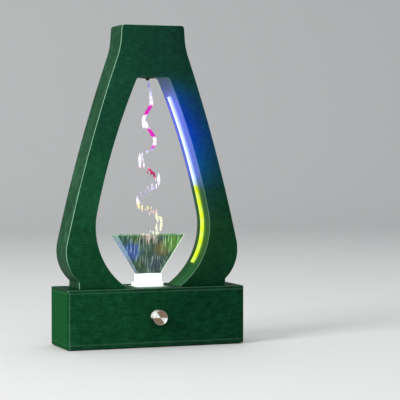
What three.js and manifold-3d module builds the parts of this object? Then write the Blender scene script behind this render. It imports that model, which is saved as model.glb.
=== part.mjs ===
// Anti-gravity fountain lamp: a teardrop arch on a box, both wrapped in green leather.
// A nozzle in the arch swings a thin stream of water from side to side as it falls into a clear
// hopper, and flashing lights make the wave seem to hang still. A pump in the box lifts the
// water back to the nozzle through a hose in the left leg.
// Lengths are millimetres. X runs to the right as seen from the front, the front faces -Y and
// Z is up. The origin is the middle of the underside, on the surface that the lamp stands on.

import * as THREE from "three";
import { mergeVertices } from "three/addons/utils/BufferGeometryUtils.js";
import Module from "manifold-3d";

// Driving dimensions of the box
const baseWidth = 230;
const baseDepth = 75;
const baseHeight = 73;
const baseCorner = 4;
const topThickness = 4;
const capRim = 2;
const bottomThickness = 3;
const padThickness = 1.2;

// Driving dimensions of the arch's outer edge, heights being above the box
const frameHeight = 323.5;
const frameDepth = 45;
const footHalfWidth = 95.5;
const bulgeHalfWidth = 112;
const bulgeHeight = 45;
const bulgeRadius = 50;
const flankRadius = 2000;
const neckRadius = 90;
const topCorner = 4;
const bulgeLowAngle = -45;
const flankLowAngle = 12.4;
const flankHighAngle = 19.2;
const neckAngle = 4;

// Driving dimensions of the arch's opening
const openingHeight = 259.5;
const openingHalfWidth = 74.3;
const openingBulgeHeight = 75;
const openingBulgeRadius = 90;
const openingFlankRadius = 850;
const openingFlankAngle = 11.5;
const openingCorner = 4.5;

// Materials' thicknesses, clearances and the overrun of every cut
const boardWall = 6;
const skin = 0.8;
const seat = 0.3;
const play = 0.5;
const overrun = 1;

// Steps round a full turn of small, middling and large round pieces
const smallTurn = 8;
const turn = 16;
const fineTurn = 28;
const cornerSteps = 3;
const arcError = 0.1;

// Heights that the pieces of the box share
const bottomHeight = padThickness + seat;
const floorHeight = bottomHeight + bottomThickness;
const topHeight = baseHeight - topThickness;
const wallHeight = topHeight - floorHeight - 2 * seat;
const cover = skin + seat;
const innerHalfWidth = baseWidth / 2 - cover - boardWall;
const innerHalfDepth = baseDepth / 2 - cover - boardWall;

const wasm = await Module();
wasm.setup();

// Outlines

function radians(degrees) {
  return THREE.MathUtils.degToRad(degrees);
}

function point(x, y) {
  return new THREE.Vector2(x, y);
}

function arc(circle, from, to, steps) {
  return Array.from({ length: steps + 1 }, (_, i) => {
    const angle = radians(from + ((to - from) * i) / steps);
    return point(circle.x + circle.radius * Math.cos(angle), circle.y + circle.radius * Math.sin(angle));
  });
}

// Steps that keep a long arc's chords within the arc error
function stepsFor(circle, from, to) {
  const step = 2 * Math.acos(1 - arcError / circle.radius);
  return Math.ceil(Math.abs(radians(to - from)) / step);
}

function disc(radius, steps, x = 0, y = 0) {
  return arc({ x, y, radius }, 0, 360, steps).slice(0, steps);
}

function rectangle(width, height, x = 0, y = 0) {
  const [w, h] = [width / 2, height / 2];
  return [point(x - w, y - h), point(x + w, y - h), point(x + w, y + h), point(x - w, y + h)];
}

function roundedRectangle(width, height, radius) {
  const x = width / 2 - radius;
  const y = height / 2 - radius;
  return [
    ...arc({ x, y, radius }, 0, 90, cornerSteps),
    ...arc({ x: -x, y, radius }, 90, 180, cornerSteps),
    ...arc({ x: -x, y: -y, radius }, 180, 270, cornerSteps),
    ...arc({ x, y: -y, radius }, 270, 360, cornerSteps),
  ];
}

// A strip that follows a line of points, half its width to either side
function band(line, halfWidth) {
  const side = line.map((here, i) => {
    const before = line[Math.max(i - 1, 0)];
    const after = line[Math.min(i + 1, line.length - 1)];
    const along = after.clone().sub(before).normalize();
    return point(-along.y, along.x).multiplyScalar(halfWidth);
  });
  const left = line.map((here, i) => here.clone().add(side[i]));
  const right = line.map((here, i) => here.clone().sub(side[i]));
  return [...right, ...left.reverse()];
}

function mirrored(points) {
  return points.map((p) => point(-p.x, p.y)).reverse();
}

// Solids

// An outline with holes, raised along Z from zero
function slab(outline, height, ...holes) {
  const shape = new THREE.Shape(outline);
  shape.holes = holes.map((hole) => new THREE.Path(hole));
  return new THREE.ExtrudeGeometry(shape, { depth: height, bevelEnabled: false });
}

// An outline in the upright plane X-Z, carried along Y from one place to another
function upright(outline, yFront, yBack, ...holes) {
  return slab(outline, yBack - yFront, ...holes).rotateX(Math.PI / 2).translate(0, yBack, 0);
}

// A profile of [radius, height] pairs turned round Z, from the axis up and back to the axis
function turned(profile, steps) {
  const points = profile.map(([radius, height]) => point(radius, height));
  return new THREE.LatheGeometry(points, steps).rotateX(Math.PI / 2);
}

// A turned tube whose profile closes on itself
function turnedRing(profile, steps) {
  return turned([...profile, profile[0]], steps);
}

function rod(radius, low, high, steps = turn) {
  return turned([[0, low], [radius, low], [radius, high], [0, high]], steps);
}

function alongX(geometry) {
  return geometry.rotateY(Math.PI / 2);
}

function alongY(geometry) {
  return geometry.rotateX(-Math.PI / 2);
}

function block(width, depth, height, x = 0, y = 0, z = 0) {
  return new THREE.BoxGeometry(width, depth, height).translate(x, y, z);
}

// A round cord or hose through hand-placed or worked-out points
function tube(points, radius, sides, steps) {
  const section = new THREE.Shape(disc(radius, sides));
  const places = points.map((p) => new THREE.Vector3(...p));
  const extrudePath = new THREE.CatmullRomCurve3(places, false, "centripetal");
  return new THREE.ExtrudeGeometry(section, { steps, extrudePath, bevelEnabled: false });
}

function toSolid(geometry) {
  const bare = geometry.index ? geometry.toNonIndexed() : geometry.clone();
  bare.deleteAttribute("normal");
  bare.deleteAttribute("uv");
  const welded = mergeVertices(bare);
  const corners = welded.index.array;
  const kept = [];
  for (let i = 0; i < corners.length; i += 3) {
    const [a, b, c] = corners.subarray(i, i + 3);
    if (a !== b && b !== c && c !== a) kept.push(a, b, c);
  }
  const vertProperties = welded.attributes.position.array;
  return new wasm.Manifold(new wasm.Mesh({ numProp: 3, vertProperties, triVerts: Uint32Array.from(kept) }));
}

function toGeometry(solid) {
  const mesh = solid.getMesh();
  const geometry = new THREE.BufferGeometry();
  geometry.setAttribute("position", new THREE.BufferAttribute(mesh.vertProperties, 3));
  geometry.setIndex(new THREE.BufferAttribute(mesh.triVerts, 1));
  geometry.computeVertexNormals();
  return geometry;
}

function cut(body, ...tools) {
  return toGeometry(tools.reduce((solid, tool) => solid.subtract(toSolid(tool)), toSolid(body)));
}

function join(first, ...others) {
  return toGeometry(others.reduce((solid, other) => solid.add(toSolid(other)), toSolid(first)));
}

// Finishes
function finish(color, roughness, metalness) {
  return new THREE.MeshStandardMaterial({ color, roughness, metalness });
}

const greenLeather = finish(0x1c5534, 0.62, 0);
const fibreboard = finish(0x8a6a48, 0.9, 0);
const darkFelt = finish(0x1b1c1b, 0.98, 0);
const zincSteel = finish(0xb4b6b8, 0.35, 1);
const spunAluminium = finish(0xc9c6c1, 0.28, 1);
const brass = finish(0xc2a05a, 0.3, 1);
const copperWire = finish(0xa4582c, 0.4, 0.8);
const blackPlastic = finish(0x1a1b1d, 0.5, 0);
const greyPlastic = finish(0x6f7478, 0.5, 0);
const clearPlastic = finish(0xd8ecea, 0.06, 0);
clearPlastic.transparent = true;
clearPlastic.opacity = 0.35;
const milkyPlastic = finish(0xf6f8fb, 0.4, 0);
milkyPlastic.emissive.set(0xdfe6f2);
const glowingSilicone = finish(0xe9efff, 0.45, 0);
glowingSilicone.emissive.set(0x6f7cff);
const softSilicone = finish(0xd9dcdb, 0.5, 0);
const circuitGreen = finish(0x1d5a3a, 0.5, 0);
const wireInsulation = finish(0x9c2b25, 0.55, 0);
const water = finish(0xe7d9ff, 0.05, 0);
water.emissive.set(0x7a3fa0);

const lamp = new THREE.Group();
const base = new THREE.Group();
const frame = new THREE.Group();
const basin = new THREE.Group();
const pump = new THREE.Group();
const electronics = new THREE.Group();
const nozzleDrive = new THREE.Group();
lamp.add(base, frame, basin);
base.add(pump, electronics);
frame.add(nozzleDrive);

function piece(group, name, geometry, material, x = 0, y = 0, z = 0) {
  const mesh = new THREE.Mesh(geometry, material);
  mesh.name = name;
  mesh.position.set(x, y, z);
  group.add(mesh);
}

// Alike pieces share one geometry, and their names are numbered from 1.
function pieces(group, name, geometry, material, places) {
  places.forEach(([x, y, z], i) => piece(group, `${name}_${i + 1}`, geometry, material, x, y, z));
}

// The arch's outline is a chain of tangent arcs. The bulge passes into the long flank, which
// passes into the hollow curve below the neck. `inset` draws it that far inside the leather.

function onCircle(circle, angle, offset = 0) {
  const reach = circle.radius + offset;
  return point(circle.x + reach * Math.cos(radians(angle)), circle.y + reach * Math.sin(radians(angle)));
}

function acrossAt(circle, height) {
  return circle.x + Math.sqrt(circle.radius ** 2 - (height - circle.y) ** 2);
}

function grown(circle, offset) {
  return { x: circle.x, y: circle.y, radius: circle.radius + offset };
}

// A stretch of a circle's arc, moved out by an offset
function sweep(circle, offset, from, to) {
  return arc(grown(circle, offset), from, to, stepsFor(circle, from, to));
}

// The circle of another radius that touches this one from inside, at an angle
function touching(circle, angle, radius) {
  const centre = onCircle(circle, angle, -radius);
  return { x: centre.x, y: centre.y, radius };
}

function angleAt(circle, height) {
  return THREE.MathUtils.radToDeg(Math.asin((height - circle.y) / circle.radius));
}

const bulge = { x: bulgeHalfWidth - bulgeRadius, y: bulgeHeight, radius: bulgeRadius };
const flank = touching(bulge, flankLowAngle, flankRadius);
const neckCentre = onCircle(flank, flankHighAngle, neckRadius);
const neck = { x: neckCentre.x, y: neckCentre.y, radius: neckRadius };

function outerHalf(inset) {
  const slope = onCircle(bulge, bulgeLowAngle, -inset);
  const footX = footHalfWidth - inset;
  const footY = slope.y - (footX - slope.x) / Math.tan(radians(bulgeLowAngle));
  const neckTop = onCircle(neck, 180 + neckAngle, inset);
  const cornerY = frameHeight - topCorner;
  const cornerX =
    neckTop.x - (topCorner - inset + (cornerY - neckTop.y) * Math.sin(radians(neckAngle))) /
      Math.cos(radians(neckAngle));
  return [
    point(footX, 0),
    point(footX, footY),
    ...sweep(bulge, -inset, bulgeLowAngle, flankLowAngle),
    ...sweep(flank, -inset, flankLowAngle, flankHighAngle).slice(1),
    ...sweep(neck, inset, 180 + flankHighAngle, 180 + neckAngle).slice(1),
    ...arc({ x: cornerX, y: cornerY, radius: topCorner - inset }, neckAngle, 90, cornerSteps),
  ];
}

const openingBulge = {
  x: openingHalfWidth - openingBulgeRadius,
  y: openingBulgeHeight,
  radius: openingBulgeRadius,
};
const openingFlank = touching(openingBulge, openingFlankAngle, openingFlankRadius);
const openingTurn = {
  x: acrossAt(grown(openingFlank, -openingCorner), openingHeight - openingCorner),
  y: openingHeight - openingCorner,
  radius: openingCorner,
};
const openingTurnAngle = angleAt(grown(openingFlank, -openingCorner), openingTurn.y);

function openingHalf(inset) {
  const side = grown(openingBulge, inset);
  return [
    ...sweep(openingBulge, inset, angleAt(side, 0), openingFlankAngle),
    ...sweep(openingFlank, inset, openingFlankAngle, openingTurnAngle).slice(1),
    ...arc(grown(openingTurn, inset), openingTurnAngle, 90, cornerSteps).slice(1),
  ];
}

function archOutline(inset) {
  const outer = outerHalf(inset);
  const inner = openingHalf(inset);
  return [...outer, ...mirrored(outer), ...mirrored(inner).reverse(), ...inner.reverse()];
}

function outerEdge(height) {
  const flankFoot = onCircle(bulge, flankLowAngle).y;
  return acrossAt(height < flankFoot ? bulge : flank, height);
}

function openingCircle(height) {
  return height < onCircle(openingBulge, openingFlankAngle).y ? openingBulge : openingFlank;
}

function openingEdge(height) {
  return acrossAt(openingCircle(height), height);
}

function legMiddle(height) {
  return (outerEdge(height) + openingEdge(height)) / 2;
}

// A stretch of the opening's side wall, drawn `offset` inside the opening
function wallRun(offset, low, high) {
  return [
    ...sweep(openingBulge, -offset, angleAt(openingBulge, low), openingFlankAngle),
    ...sweep(openingFlank, -offset, openingFlankAngle, angleAt(openingFlank, high)).slice(1),
  ];
}

// Hose and cable sizes and the places where they pass from the box into the legs
const hoseRadius = 3;
const hoseGroove = hoseRadius + play;
const legPassage = (footHalfWidth + openingEdge(0)) / 2;
const passageBehind = seat + hoseRadius + seat;
const leadRadius = 1;
const leadGroove = leadRadius + play;
const passageRadius = hoseRadius + play;

// The tank reaches from beyond the hose's passage to beyond the basin's spigot. The circuit
// board and the inlet are in the middle of the room to its right.
const holder = {
  width: 38, depth: 18, flange: 3.5, blockWidth: 32, blockDepth: 12, blockHeight: 11.2,
  spigotWidth: 28, spigotDepth: 8.4, spigotLength: 22, throatWidth: 24, throatDepth: 5.6, corner: 1.5,
};
const tankEnds = { left: 15, right: 16 };
const tankLeft = -legPassage - tankEnds.left;
const tankRight = holder.spigotWidth / 2 + tankEnds.right;
const boardX = (tankRight + innerHalfWidth) / 2;

// Screws that hold the box's bottom in the wall's corner blocks
const cornerBlock = 12;
const bottomScrew = { head: 3.6, headHeight: 1.9, shank: 1.7, length: 15 };
const screwX = innerHalfWidth - cornerBlock / 2;
const screwY = innerHalfDepth - cornerBlock / 2;
const bottomScrewPlaces = [[screwX, screwY], [-screwX, screwY], [-screwX, -screwY], [screwX, -screwY]];

// The rest pad is felt, stuck under the bottom board, with holes over the screws.
const padInset = 3;
const padHole = bottomScrew.head + play;
const padOutline = roundedRectangle(baseWidth - 2 * padInset, baseDepth - 2 * padInset, baseCorner);
const padHoles = bottomScrewPlaces.map(([x, y]) => disc(padHole, smallTurn, x, y));
piece(base, "base_pad", slab(padOutline, padThickness, ...padHoles), darkFelt);

// The bottom is a board with a strip of leather round its edge.
function baseOutline(inset) {
  return roundedRectangle(baseWidth - 2 * inset, baseDepth - 2 * inset, baseCorner - inset);
}

const countersink = turned([
  [0, -overrun],
  [bottomScrew.head + seat, -overrun],
  [bottomScrew.head + seat, seat],
  [bottomScrew.shank + seat, bottomScrew.headHeight + seat],
  [bottomScrew.shank + seat, bottomThickness + overrun],
  [0, bottomThickness + overrun],
], smallTurn);
const countersinks = bottomScrewPlaces.map(([x, y]) => countersink.clone().translate(x, y, 0));
const bottomBoard = cut(slab(baseOutline(cover), bottomThickness), ...countersinks);
piece(base, "bottom_board", bottomBoard, fibreboard, 0, 0, bottomHeight);
const bottomEdging = slab(baseOutline(0), bottomThickness, baseOutline(skin));
piece(base, "bottom_edging", bottomEdging, greenLeather, 0, 0, bottomHeight);

const countersunkScrew = turned([
  [0, seat],
  [bottomScrew.head, seat],
  [bottomScrew.shank, bottomScrew.headHeight + seat],
  [bottomScrew.shank, bottomScrew.length - bottomScrew.shank],
  [0, bottomScrew.length],
], smallTurn);
const bottomScrewSeats = bottomScrewPlaces.map(([x, y]) => [x, y, bottomHeight]);
pieces(base, "bottom_screw", countersunkScrew, zincSteel, bottomScrewSeats);

// The speed control sits behind the front wall, which is thinned from inside to a web for it.
const knobRise = 1;
const knobHeight = baseHeight / 2 + knobRise;
const control = { body: 8, depth: 8, back: 2, bushing: 4.5, bushingLength: 7.6, shaft: 3, web: 3 };
const controlNut = { radius: 6.4, thickness: 2.2 };
const controlFront = -baseDepth / 2 + cover + control.web + seat;

// The power inlet sits in the back wall beside the circuit board.
const jack = {
  z: 30, barrel: 5.4, flange: 6.6, flangeThickness: 1.5, length: 15, bore: 3.1, boreDepth: 9,
};
const jackNut = { radius: 7.4, thickness: 2.5 };
const jackPin = 1;

// Round cuts along Y through the front and back walls, centred on the control and the inlet
function wallHole(x, z, radius, yFront, yBack) {
  return alongY(rod(radius, yFront, yBack)).translate(x, 0, z - floorHeight - seat);
}

const controlHole = wallHole(0, knobHeight, control.bushing + seat, -baseDepth, 0);
const controlRecess = wallHole(0, knobHeight, control.body + seat, controlFront - seat, 0);
const jackHole = wallHole(boardX, jack.z, jack.barrel + seat, 0, baseDepth);
const pilot = rod(bottomScrew.shank + seat, -overrun, bottomScrew.length - bottomThickness + play, smallTurn);
const pilots = bottomScrewPlaces.map(([x, y]) => pilot.clone().translate(x, y, 0));

// The wall is four boards glued round corner blocks.
const blockX = innerHalfWidth - cornerBlock;
const blockY = innerHalfDepth - cornerBlock;
const wallInside = [
  point(innerHalfWidth, -blockY),
  point(innerHalfWidth, blockY),
  point(blockX, blockY),
  point(blockX, innerHalfDepth),
  point(-blockX, innerHalfDepth),
  point(-blockX, blockY),
  point(-innerHalfWidth, blockY),
  point(-innerHalfWidth, -blockY),
  point(-blockX, -blockY),
  point(-blockX, -innerHalfDepth),
  point(blockX, -innerHalfDepth),
  point(blockX, -blockY),
];
const wallBlank = slab(baseOutline(cover), wallHeight, wallInside);
const wall = cut(wallBlank, controlHole, controlRecess, jackHole, ...pilots);
piece(base, "base_wall", wall, fibreboard, 0, 0, floorHeight + seat);

// The leather band round the wall also covers the lower part of the top board's edge.
const bandHeight = wallHeight + topThickness - capRim;
const wallBand = cut(slab(baseOutline(0), bandHeight, baseOutline(skin)), controlHole, jackHole);
piece(base, "base_leather", wallBand, greenLeather, 0, 0, floorHeight + seat);

// Screws up through the top into the legs, one into each board of each leg
const boardThickness = frameDepth / 2 - cover - seat / 2;
const boardMiddle = (boardThickness + seat) / 2;
const legScrew = { head: 3.8, headHeight: 2.2, shank: 2, length: 26 };
const legScrewOut = { front: 3, back: 17 };
const legScrewPlaces = [-1, 1].flatMap((side) => [
  [side * (legPassage + legScrewOut.front), -boardMiddle],
  [side * (legPassage + legScrewOut.back), boardMiddle],
]);

// The top is a board in a leather cap, cut out for the basin's holder and its light board.
const holderLedge = 1;
const topCutWidth = holder.width - 2 * holderLedge;
const topCutDepth = holder.depth - 2 * holderLedge;
const topBoardThickness = topThickness - cover;
const topHoles = [
  rectangle(topCutWidth, topCutDepth),
  disc(passageRadius, smallTurn, -legPassage, passageBehind),
  disc(passageRadius, smallTurn, legPassage, passageBehind),
  ...legScrewPlaces.map(([x, y]) => disc(legScrew.shank + seat, smallTurn, x, y)),
];
const topBoard = slab(baseOutline(cover), topBoardThickness, ...topHoles);
piece(base, "top_board", topBoard, fibreboard, 0, 0, topHeight);
const capInside = slab(baseOutline(skin), capRim - skin + overrun).translate(0, 0, -overrun);
const topCap = cut(slab(baseOutline(0), capRim, ...topHoles), capInside);
piece(base, "top_leather", topCap, greenLeather, 0, 0, baseHeight - capRim);

const panScrew = turned([
  [0, 0],
  [(legScrew.head + legScrew.shank) / 2, 0],
  [legScrew.head, legScrew.headHeight / 2],
  [legScrew.head, legScrew.headHeight],
  [legScrew.shank, legScrew.headHeight],
  [legScrew.shank, legScrew.length],
  [0, legScrew.length + legScrew.shank],
], smallTurn);
const legScrewHeight = topHeight - seat - legScrew.headHeight;
const legScrewSeats = legScrewPlaces.map(([x, y]) => [x, y, legScrewHeight]);
pieces(base, "leg_screw", panScrew, zincSteel, legScrewSeats);

// The arch is two boards, face to face, held by dowels. The back one has the grooves for the
// hose and the leads, and both are hollowed at the neck for the nozzle and its drive.
const frameFoot = baseHeight + seat;
const nozzle = { bore: 1.1, tip: 2.2, tube: 3, body: 4.5, bodyHalf: 4, barb: 2.6, barbLength: 3, drop: 27 };
const nozzleTaper = 5;
const nozzleShows = 3.5;
const pivotHeight = openingHeight - nozzleShows + nozzle.drop;
const trunnion = { radius: 1.8, reach: 8.2 };
const exciter = { drop: 8, outer: 8.5, bore: 4.6, length: 14, start: 13.3, magnet: 4, rod: 1.5 };
const pocket = { left: -16, right: exciter.start + exciter.length + seat, top: 28 };
const pocketLow = -exciter.drop - exciter.outer - seat;
const pocketHalfDepth = exciter.outer + seat;
const swingRoom = 2.2;
const nozzleHole = nozzle.tube + swingRoom;
const bracketScrew = { head: 2.2, headHeight: 1.5, shank: 1.2, length: 8, x: 10, z: 4 };
const bracketSheet = 1.5;
const dowel = { radius: 3, length: 24 };
const dowelX = bulgeHalfWidth - cover - 2 * dowel.radius - overrun;
const dowelPlaces = [[-dowelX, 0, bulgeHeight], [dowelX, 0, bulgeHeight]];

// The hose's route in the arch: up the middle of the left leg, then over a bend into the
// nozzle's top. The leads' route goes up the middle of the right leg to the drive.
const bendRadius = 12;
const bendRise = 12;
const bendAngle = 150;
const bend = { x: -bendRadius, y: pivotHeight + bendRise, radius: bendRadius };
const routeShares = [0.05, 0.12, 0.25, 0.4, 0.55, 0.7, 0.85, 0.97];
const legRun = routeShares.map((share) => {
  const height = share * openingHeight;
  const middle = legMiddle(height);
  return point(middle + (legPassage - middle) * Math.exp(-height / bendRadius), height);
});
function throughPoints(points, count) {
  return new THREE.SplineCurve(points).getPoints(count);
}
const riserFoot = [point(-legPassage, -topThickness), point(-legPassage, 0)];
const riserRun = legRun.map((p) => point(-p.x, p.y));
const riserLine = [
  ...throughPoints([...riserFoot, ...riserRun, onCircle(bend, bendAngle)], 36).slice(0, -1),
  ...arc(bend, bendAngle, 0, 10),
  point(0, pivotHeight + bendRise / 2),
];
const hoseGrooveDepth = passageBehind + hoseGroove;
const hoseCut = upright(band(riserLine.slice(0, -6), hoseGroove), -overrun, hoseGrooveDepth);

// The leads' last stretch, measured from the pocket's right wall and the nozzle's pivot
const leadEnd = [[6, -4], [2, 5], [-3, 6], [-6, 3], [-6.5, 0.8]];
const leadFoot = [point(legPassage, -topThickness), point(legPassage, 0)];
const leadTop = leadEnd.map(([x, z]) => point(pocket.right + x, pivotHeight + z));
const leadLine = throughPoints([...leadFoot, ...legRun, ...leadTop], 40);
const leadGrooveDepth = passageBehind + leadGroove;
const leadCut = upright(band(leadLine.slice(0, -9), leadGroove), -overrun, leadGrooveDepth);
const leadMouth = { width: 8, height: 18, rise: 1 };
const leadMouthCut = block(
  leadMouth.width + overrun, leadGrooveDepth + overrun, leadMouth.height,
  pocket.right + (leadMouth.width - overrun) / 2, (leadGrooveDepth - overrun) / 2,
  pivotHeight + leadMouth.rise,
);

const stripLow = 27;
const stripHigh = 235;
const stripLead = { radius: 0.9, rise: 4, behind: 1.5 };
const stripLeadHeight = stripLow + stripLead.rise;
const stripLeadLine = [
  point(openingEdge(stripLeadHeight) - overrun, stripLeadHeight),
  point(legMiddle(stripLeadHeight) + overrun, stripLeadHeight),
];
const stripLeadCut = upright(band(stripLeadLine, leadGroove), -overrun, leadGrooveDepth);

const pocketCut = block(
  pocket.right - pocket.left, 2 * pocketHalfDepth, pocket.top - pocketLow,
  (pocket.right + pocket.left) / 2, 0, pivotHeight + (pocket.top + pocketLow) / 2,
);
const nozzleCut = rod(nozzleHole, openingHeight - overrun, pivotHeight + pocketLow + overrun);
const dowelReach = dowel.length / 2 + seat;
const dowelHole = alongY(rod(dowel.radius + seat, -dowelReach, dowelReach, smallTurn));
const dowelCuts = dowelPlaces.map(([x, y, z]) => dowelHole.clone().translate(x, y, z));
const legPilots = legScrewPlaces.map(([x, y]) =>
  rod(legScrew.shank + seat, -overrun, legScrew.length - legScrew.headHeight, smallTurn).translate(x, y, 0),
);
const bracketHoleReach = pocketHalfDepth + bracketScrew.length;
const bracketHole = alongY(rod(bracketScrew.shank + seat, 0, bracketHoleReach, smallTurn));
const bracketPilots = [-1, 1].map((side) =>
  bracketHole.clone().translate(side * bracketScrew.x, 0, pivotHeight + bracketScrew.z),
);
const boardBlank = archOutline(cover);
const frontBlank = upright(boardBlank, -boardThickness - seat / 2, -seat / 2);
const backBlank = upright(boardBlank, seat / 2, boardThickness + seat / 2);
const frontBoard = cut(frontBlank, pocketCut, nozzleCut, ...dowelCuts, ...legPilots);
const backBoard = cut(
  backBlank, pocketCut, nozzleCut, hoseCut, leadCut, leadMouthCut, stripLeadCut,
  ...dowelCuts, ...legPilots, ...bracketPilots,
);
piece(frame, "arch_front_board", frontBoard, fibreboard);
piece(frame, "arch_back_board", backBoard, fibreboard);
const dowelPin = alongY(rod(dowel.radius, -dowel.length / 2, dowel.length / 2, smallTurn));
pieces(frame, "arch_dowel", dowelPin, fibreboard, dowelPlaces);

// The arch's leather is a front and a back sheet, a strip round the outside and one round the
// opening. The inner strip has a hole for the nozzle and one for the light strip's lead.
const sheet = upright(archOutline(0), -skin / 2, skin / 2);
const sheetY = frameDepth / 2 - skin / 2;
piece(frame, "arch_front_leather", sheet, greenLeather, 0, -sheetY);
piece(frame, "arch_back_leather", sheet.clone(), greenLeather, 0, sheetY);

function openPath(half) {
  return [...half, ...mirrored(half)];
}

const stripHalfDepth = frameDepth / 2 - cover;
const outerStrip = [...openPath(outerHalf(0)), ...openPath(outerHalf(skin)).reverse()];
const innerStrip = [...openPath(openingHalf(0)), ...openPath(openingHalf(skin)).reverse()];
piece(frame, "arch_outer_leather", upright(outerStrip, -stripHalfDepth, stripHalfDepth), greenLeather);
const stripLeadHole = alongX(rod(stripLead.radius + seat, 0, footHalfWidth, smallTurn))
  .translate(0, stripLead.behind, stripLeadHeight);
const innerBlank = upright(innerStrip, -stripHalfDepth, stripHalfDepth);
piece(frame, "arch_inner_leather", cut(innerBlank, nozzleCut, stripLeadHole), greenLeather);

// The nozzle hangs on two stub pins in a bent bracket and swings across the opening.
nozzleDrive.position.z = pivotHeight;
frame.position.z = frameFoot;
const nozzleTube = turnedRing([
  [nozzle.bore, -nozzle.drop],
  [nozzle.tip, -nozzle.drop],
  [nozzle.tube, -nozzle.drop + nozzleTaper],
  [nozzle.tube, -nozzle.bodyHalf],
  [nozzle.body, -nozzle.bodyHalf],
  [nozzle.body, nozzle.bodyHalf],
  [nozzle.barb, nozzle.bodyHalf],
  [nozzle.barb, nozzle.bodyHalf + nozzle.barbLength],
  [nozzle.bore, nozzle.bodyHalf + nozzle.barbLength],
], turn);
const stubs = [-1, 1].map((side) => {
  const ends = [side * (nozzle.body - overrun), side * trunnion.reach].sort((a, b) => a - b);
  return alongY(rod(trunnion.radius, ...ends, smallTurn));
});
piece(nozzleDrive, "nozzle", join(nozzleTube, ...stubs), brass);

const cheekOuter = pocketHalfDepth - seat;
const cheekInner = cheekOuter - bracketSheet;
const cheekMiddle = (cheekOuter + cheekInner) / 2;
const bracketRoom = 5;
const bracketTop = nozzle.bodyHalf + nozzle.barbLength + bracketRoom;
const bracketLow = -nozzle.bodyHalf;
const cheekHeight = bracketTop - bracketLow;
const cheekZ = (bracketTop + bracketLow) / 2;
const cheekMargin = 2;
const cheekWidth = 2 * (nozzle.body + cheekMargin);
const backWidth = 2 * (bracketScrew.x + bracketScrew.head + overrun);
const bracketBody = join(
  block(cheekWidth, bracketSheet, cheekHeight, 0, -cheekMiddle, cheekZ),
  block(backWidth, bracketSheet, cheekHeight, 0, cheekMiddle, cheekZ),
  block(cheekWidth, 2 * cheekOuter, bracketSheet, 0, 0, bracketTop - bracketSheet / 2),
);
const bracketScrewHoles = [-1, 1].map((side) =>
  bracketHole.clone().translate(side * bracketScrew.x, 0, bracketScrew.z),
);
const bracket = cut(
  bracketBody,
  alongY(rod(trunnion.radius + seat, -frameDepth, frameDepth, smallTurn)),
  rod(hoseRadius + play, 0, frameDepth),
  ...bracketScrewHoles,
);
piece(nozzleDrive, "nozzle_bracket", bracket, zincSteel);
const bracketScrewShape = alongY(turned([
  [0, -bracketScrew.headHeight],
  [bracketScrew.head, -bracketScrew.headHeight],
  [bracketScrew.head, 0],
  [bracketScrew.shank, 0],
  [bracketScrew.shank, bracketScrew.length],
  [0, bracketScrew.length],
], smallTurn));
const bracketScrewSeat = cheekInner - seat;
const bracketScrewPlaces = [-1, 1].map((side) => [side * bracketScrew.x, bracketScrewSeat, bracketScrew.z]);
pieces(nozzleDrive, "bracket_screw", bracketScrewShape, zincSteel, bracketScrewPlaces);

// A rubber ring lines the hole that the nozzle swings in.
const grommet = { flange: 7, flangeThickness: 0.8, bore: 4.3, length: 5 };
const grommetRing = turnedRing([
  [grommet.bore, -grommet.flangeThickness],
  [grommet.flange, -grommet.flangeThickness],
  [grommet.flange, 0],
  [nozzleHole - seat, 0],
  [nozzleHole - seat, grommet.length],
  [grommet.bore, grommet.length],
], turn);
piece(frame, "nozzle_grommet", grommetRing, blackPlastic, 0, 0, openingHeight - seat);

// The drive's coil is fixed in the pocket, and its magnet pushes the nozzle with a short rod.
const coil = alongX(turnedRing([
  [exciter.bore, 0],
  [exciter.outer, 0],
  [exciter.outer, exciter.length],
  [exciter.bore, exciter.length],
], turn));
piece(nozzleDrive, "drive_coil", coil, copperWire, exciter.start, 0, -exciter.drop);
const rodStart = nozzle.tube + seat;
const plunger = alongX(turned([
  [0, rodStart],
  [exciter.rod, rodStart],
  [exciter.rod, exciter.start + overrun],
  [exciter.magnet, exciter.start + overrun],
  [exciter.magnet, exciter.start + exciter.length - 2 * overrun],
  [0, exciter.start + exciter.length - 2 * overrun],
], turn));
piece(nozzleDrive, "drive_plunger", plunger, zincSteel, 0, 0, -exciter.drop);

// The light strip is a flexible tape of lamps in a silicone sleeve, stuck to the right wall of
// the opening along its curve.
const sleeve = { width: 6, height: 3, roof: 1, side: 0.8 };
const tape = { thickness: 0.6, lampSide: 2, lampHeight: 0.7, pitch: 16 };
function strip(near, far, halfWidth, low, high) {
  const outline = [...wallRun(near, low, high), ...wallRun(far, low, high).reverse()];
  return upright(outline, -halfWidth, halfWidth);
}
const sleeveBody = strip(seat, seat + sleeve.height, sleeve.width / 2, stripLow, stripHigh);
const sleeveRoom = strip(-overrun, seat + sleeve.height - sleeve.roof, sleeve.width / 2 - sleeve.side,
  stripLow - overrun, stripHigh - sleeve.roof);
piece(frame, "light_sleeve", cut(sleeveBody, sleeveRoom), glowingSilicone);
const tapeHalfWidth = sleeve.width / 2 - sleeve.side - seat;
const tapeEnd = stripHigh - sleeve.roof - play;
const tapeBody = strip(seat, seat + tape.thickness, tapeHalfWidth, stripLow + play, tapeEnd);
const lampCount = Math.floor((tapeEnd - stripLow - tape.pitch) / tape.pitch);
const lamps = Array.from({ length: lampCount }, (_, i) => {
  const height = stripLow + tape.pitch * (i + 1);
  const lean = angleAt(openingCircle(height), height);
  const place = onCircle(openingCircle(height), lean, -seat - tape.thickness);
  return block(2 * tape.lampHeight, tape.lampSide, tape.lampSide)
    .rotateY(-radians(lean))
    .translate(place.x, 0, place.y);
});
piece(frame, "light_tape", join(tapeBody, ...lamps), circuitGreen);

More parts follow.
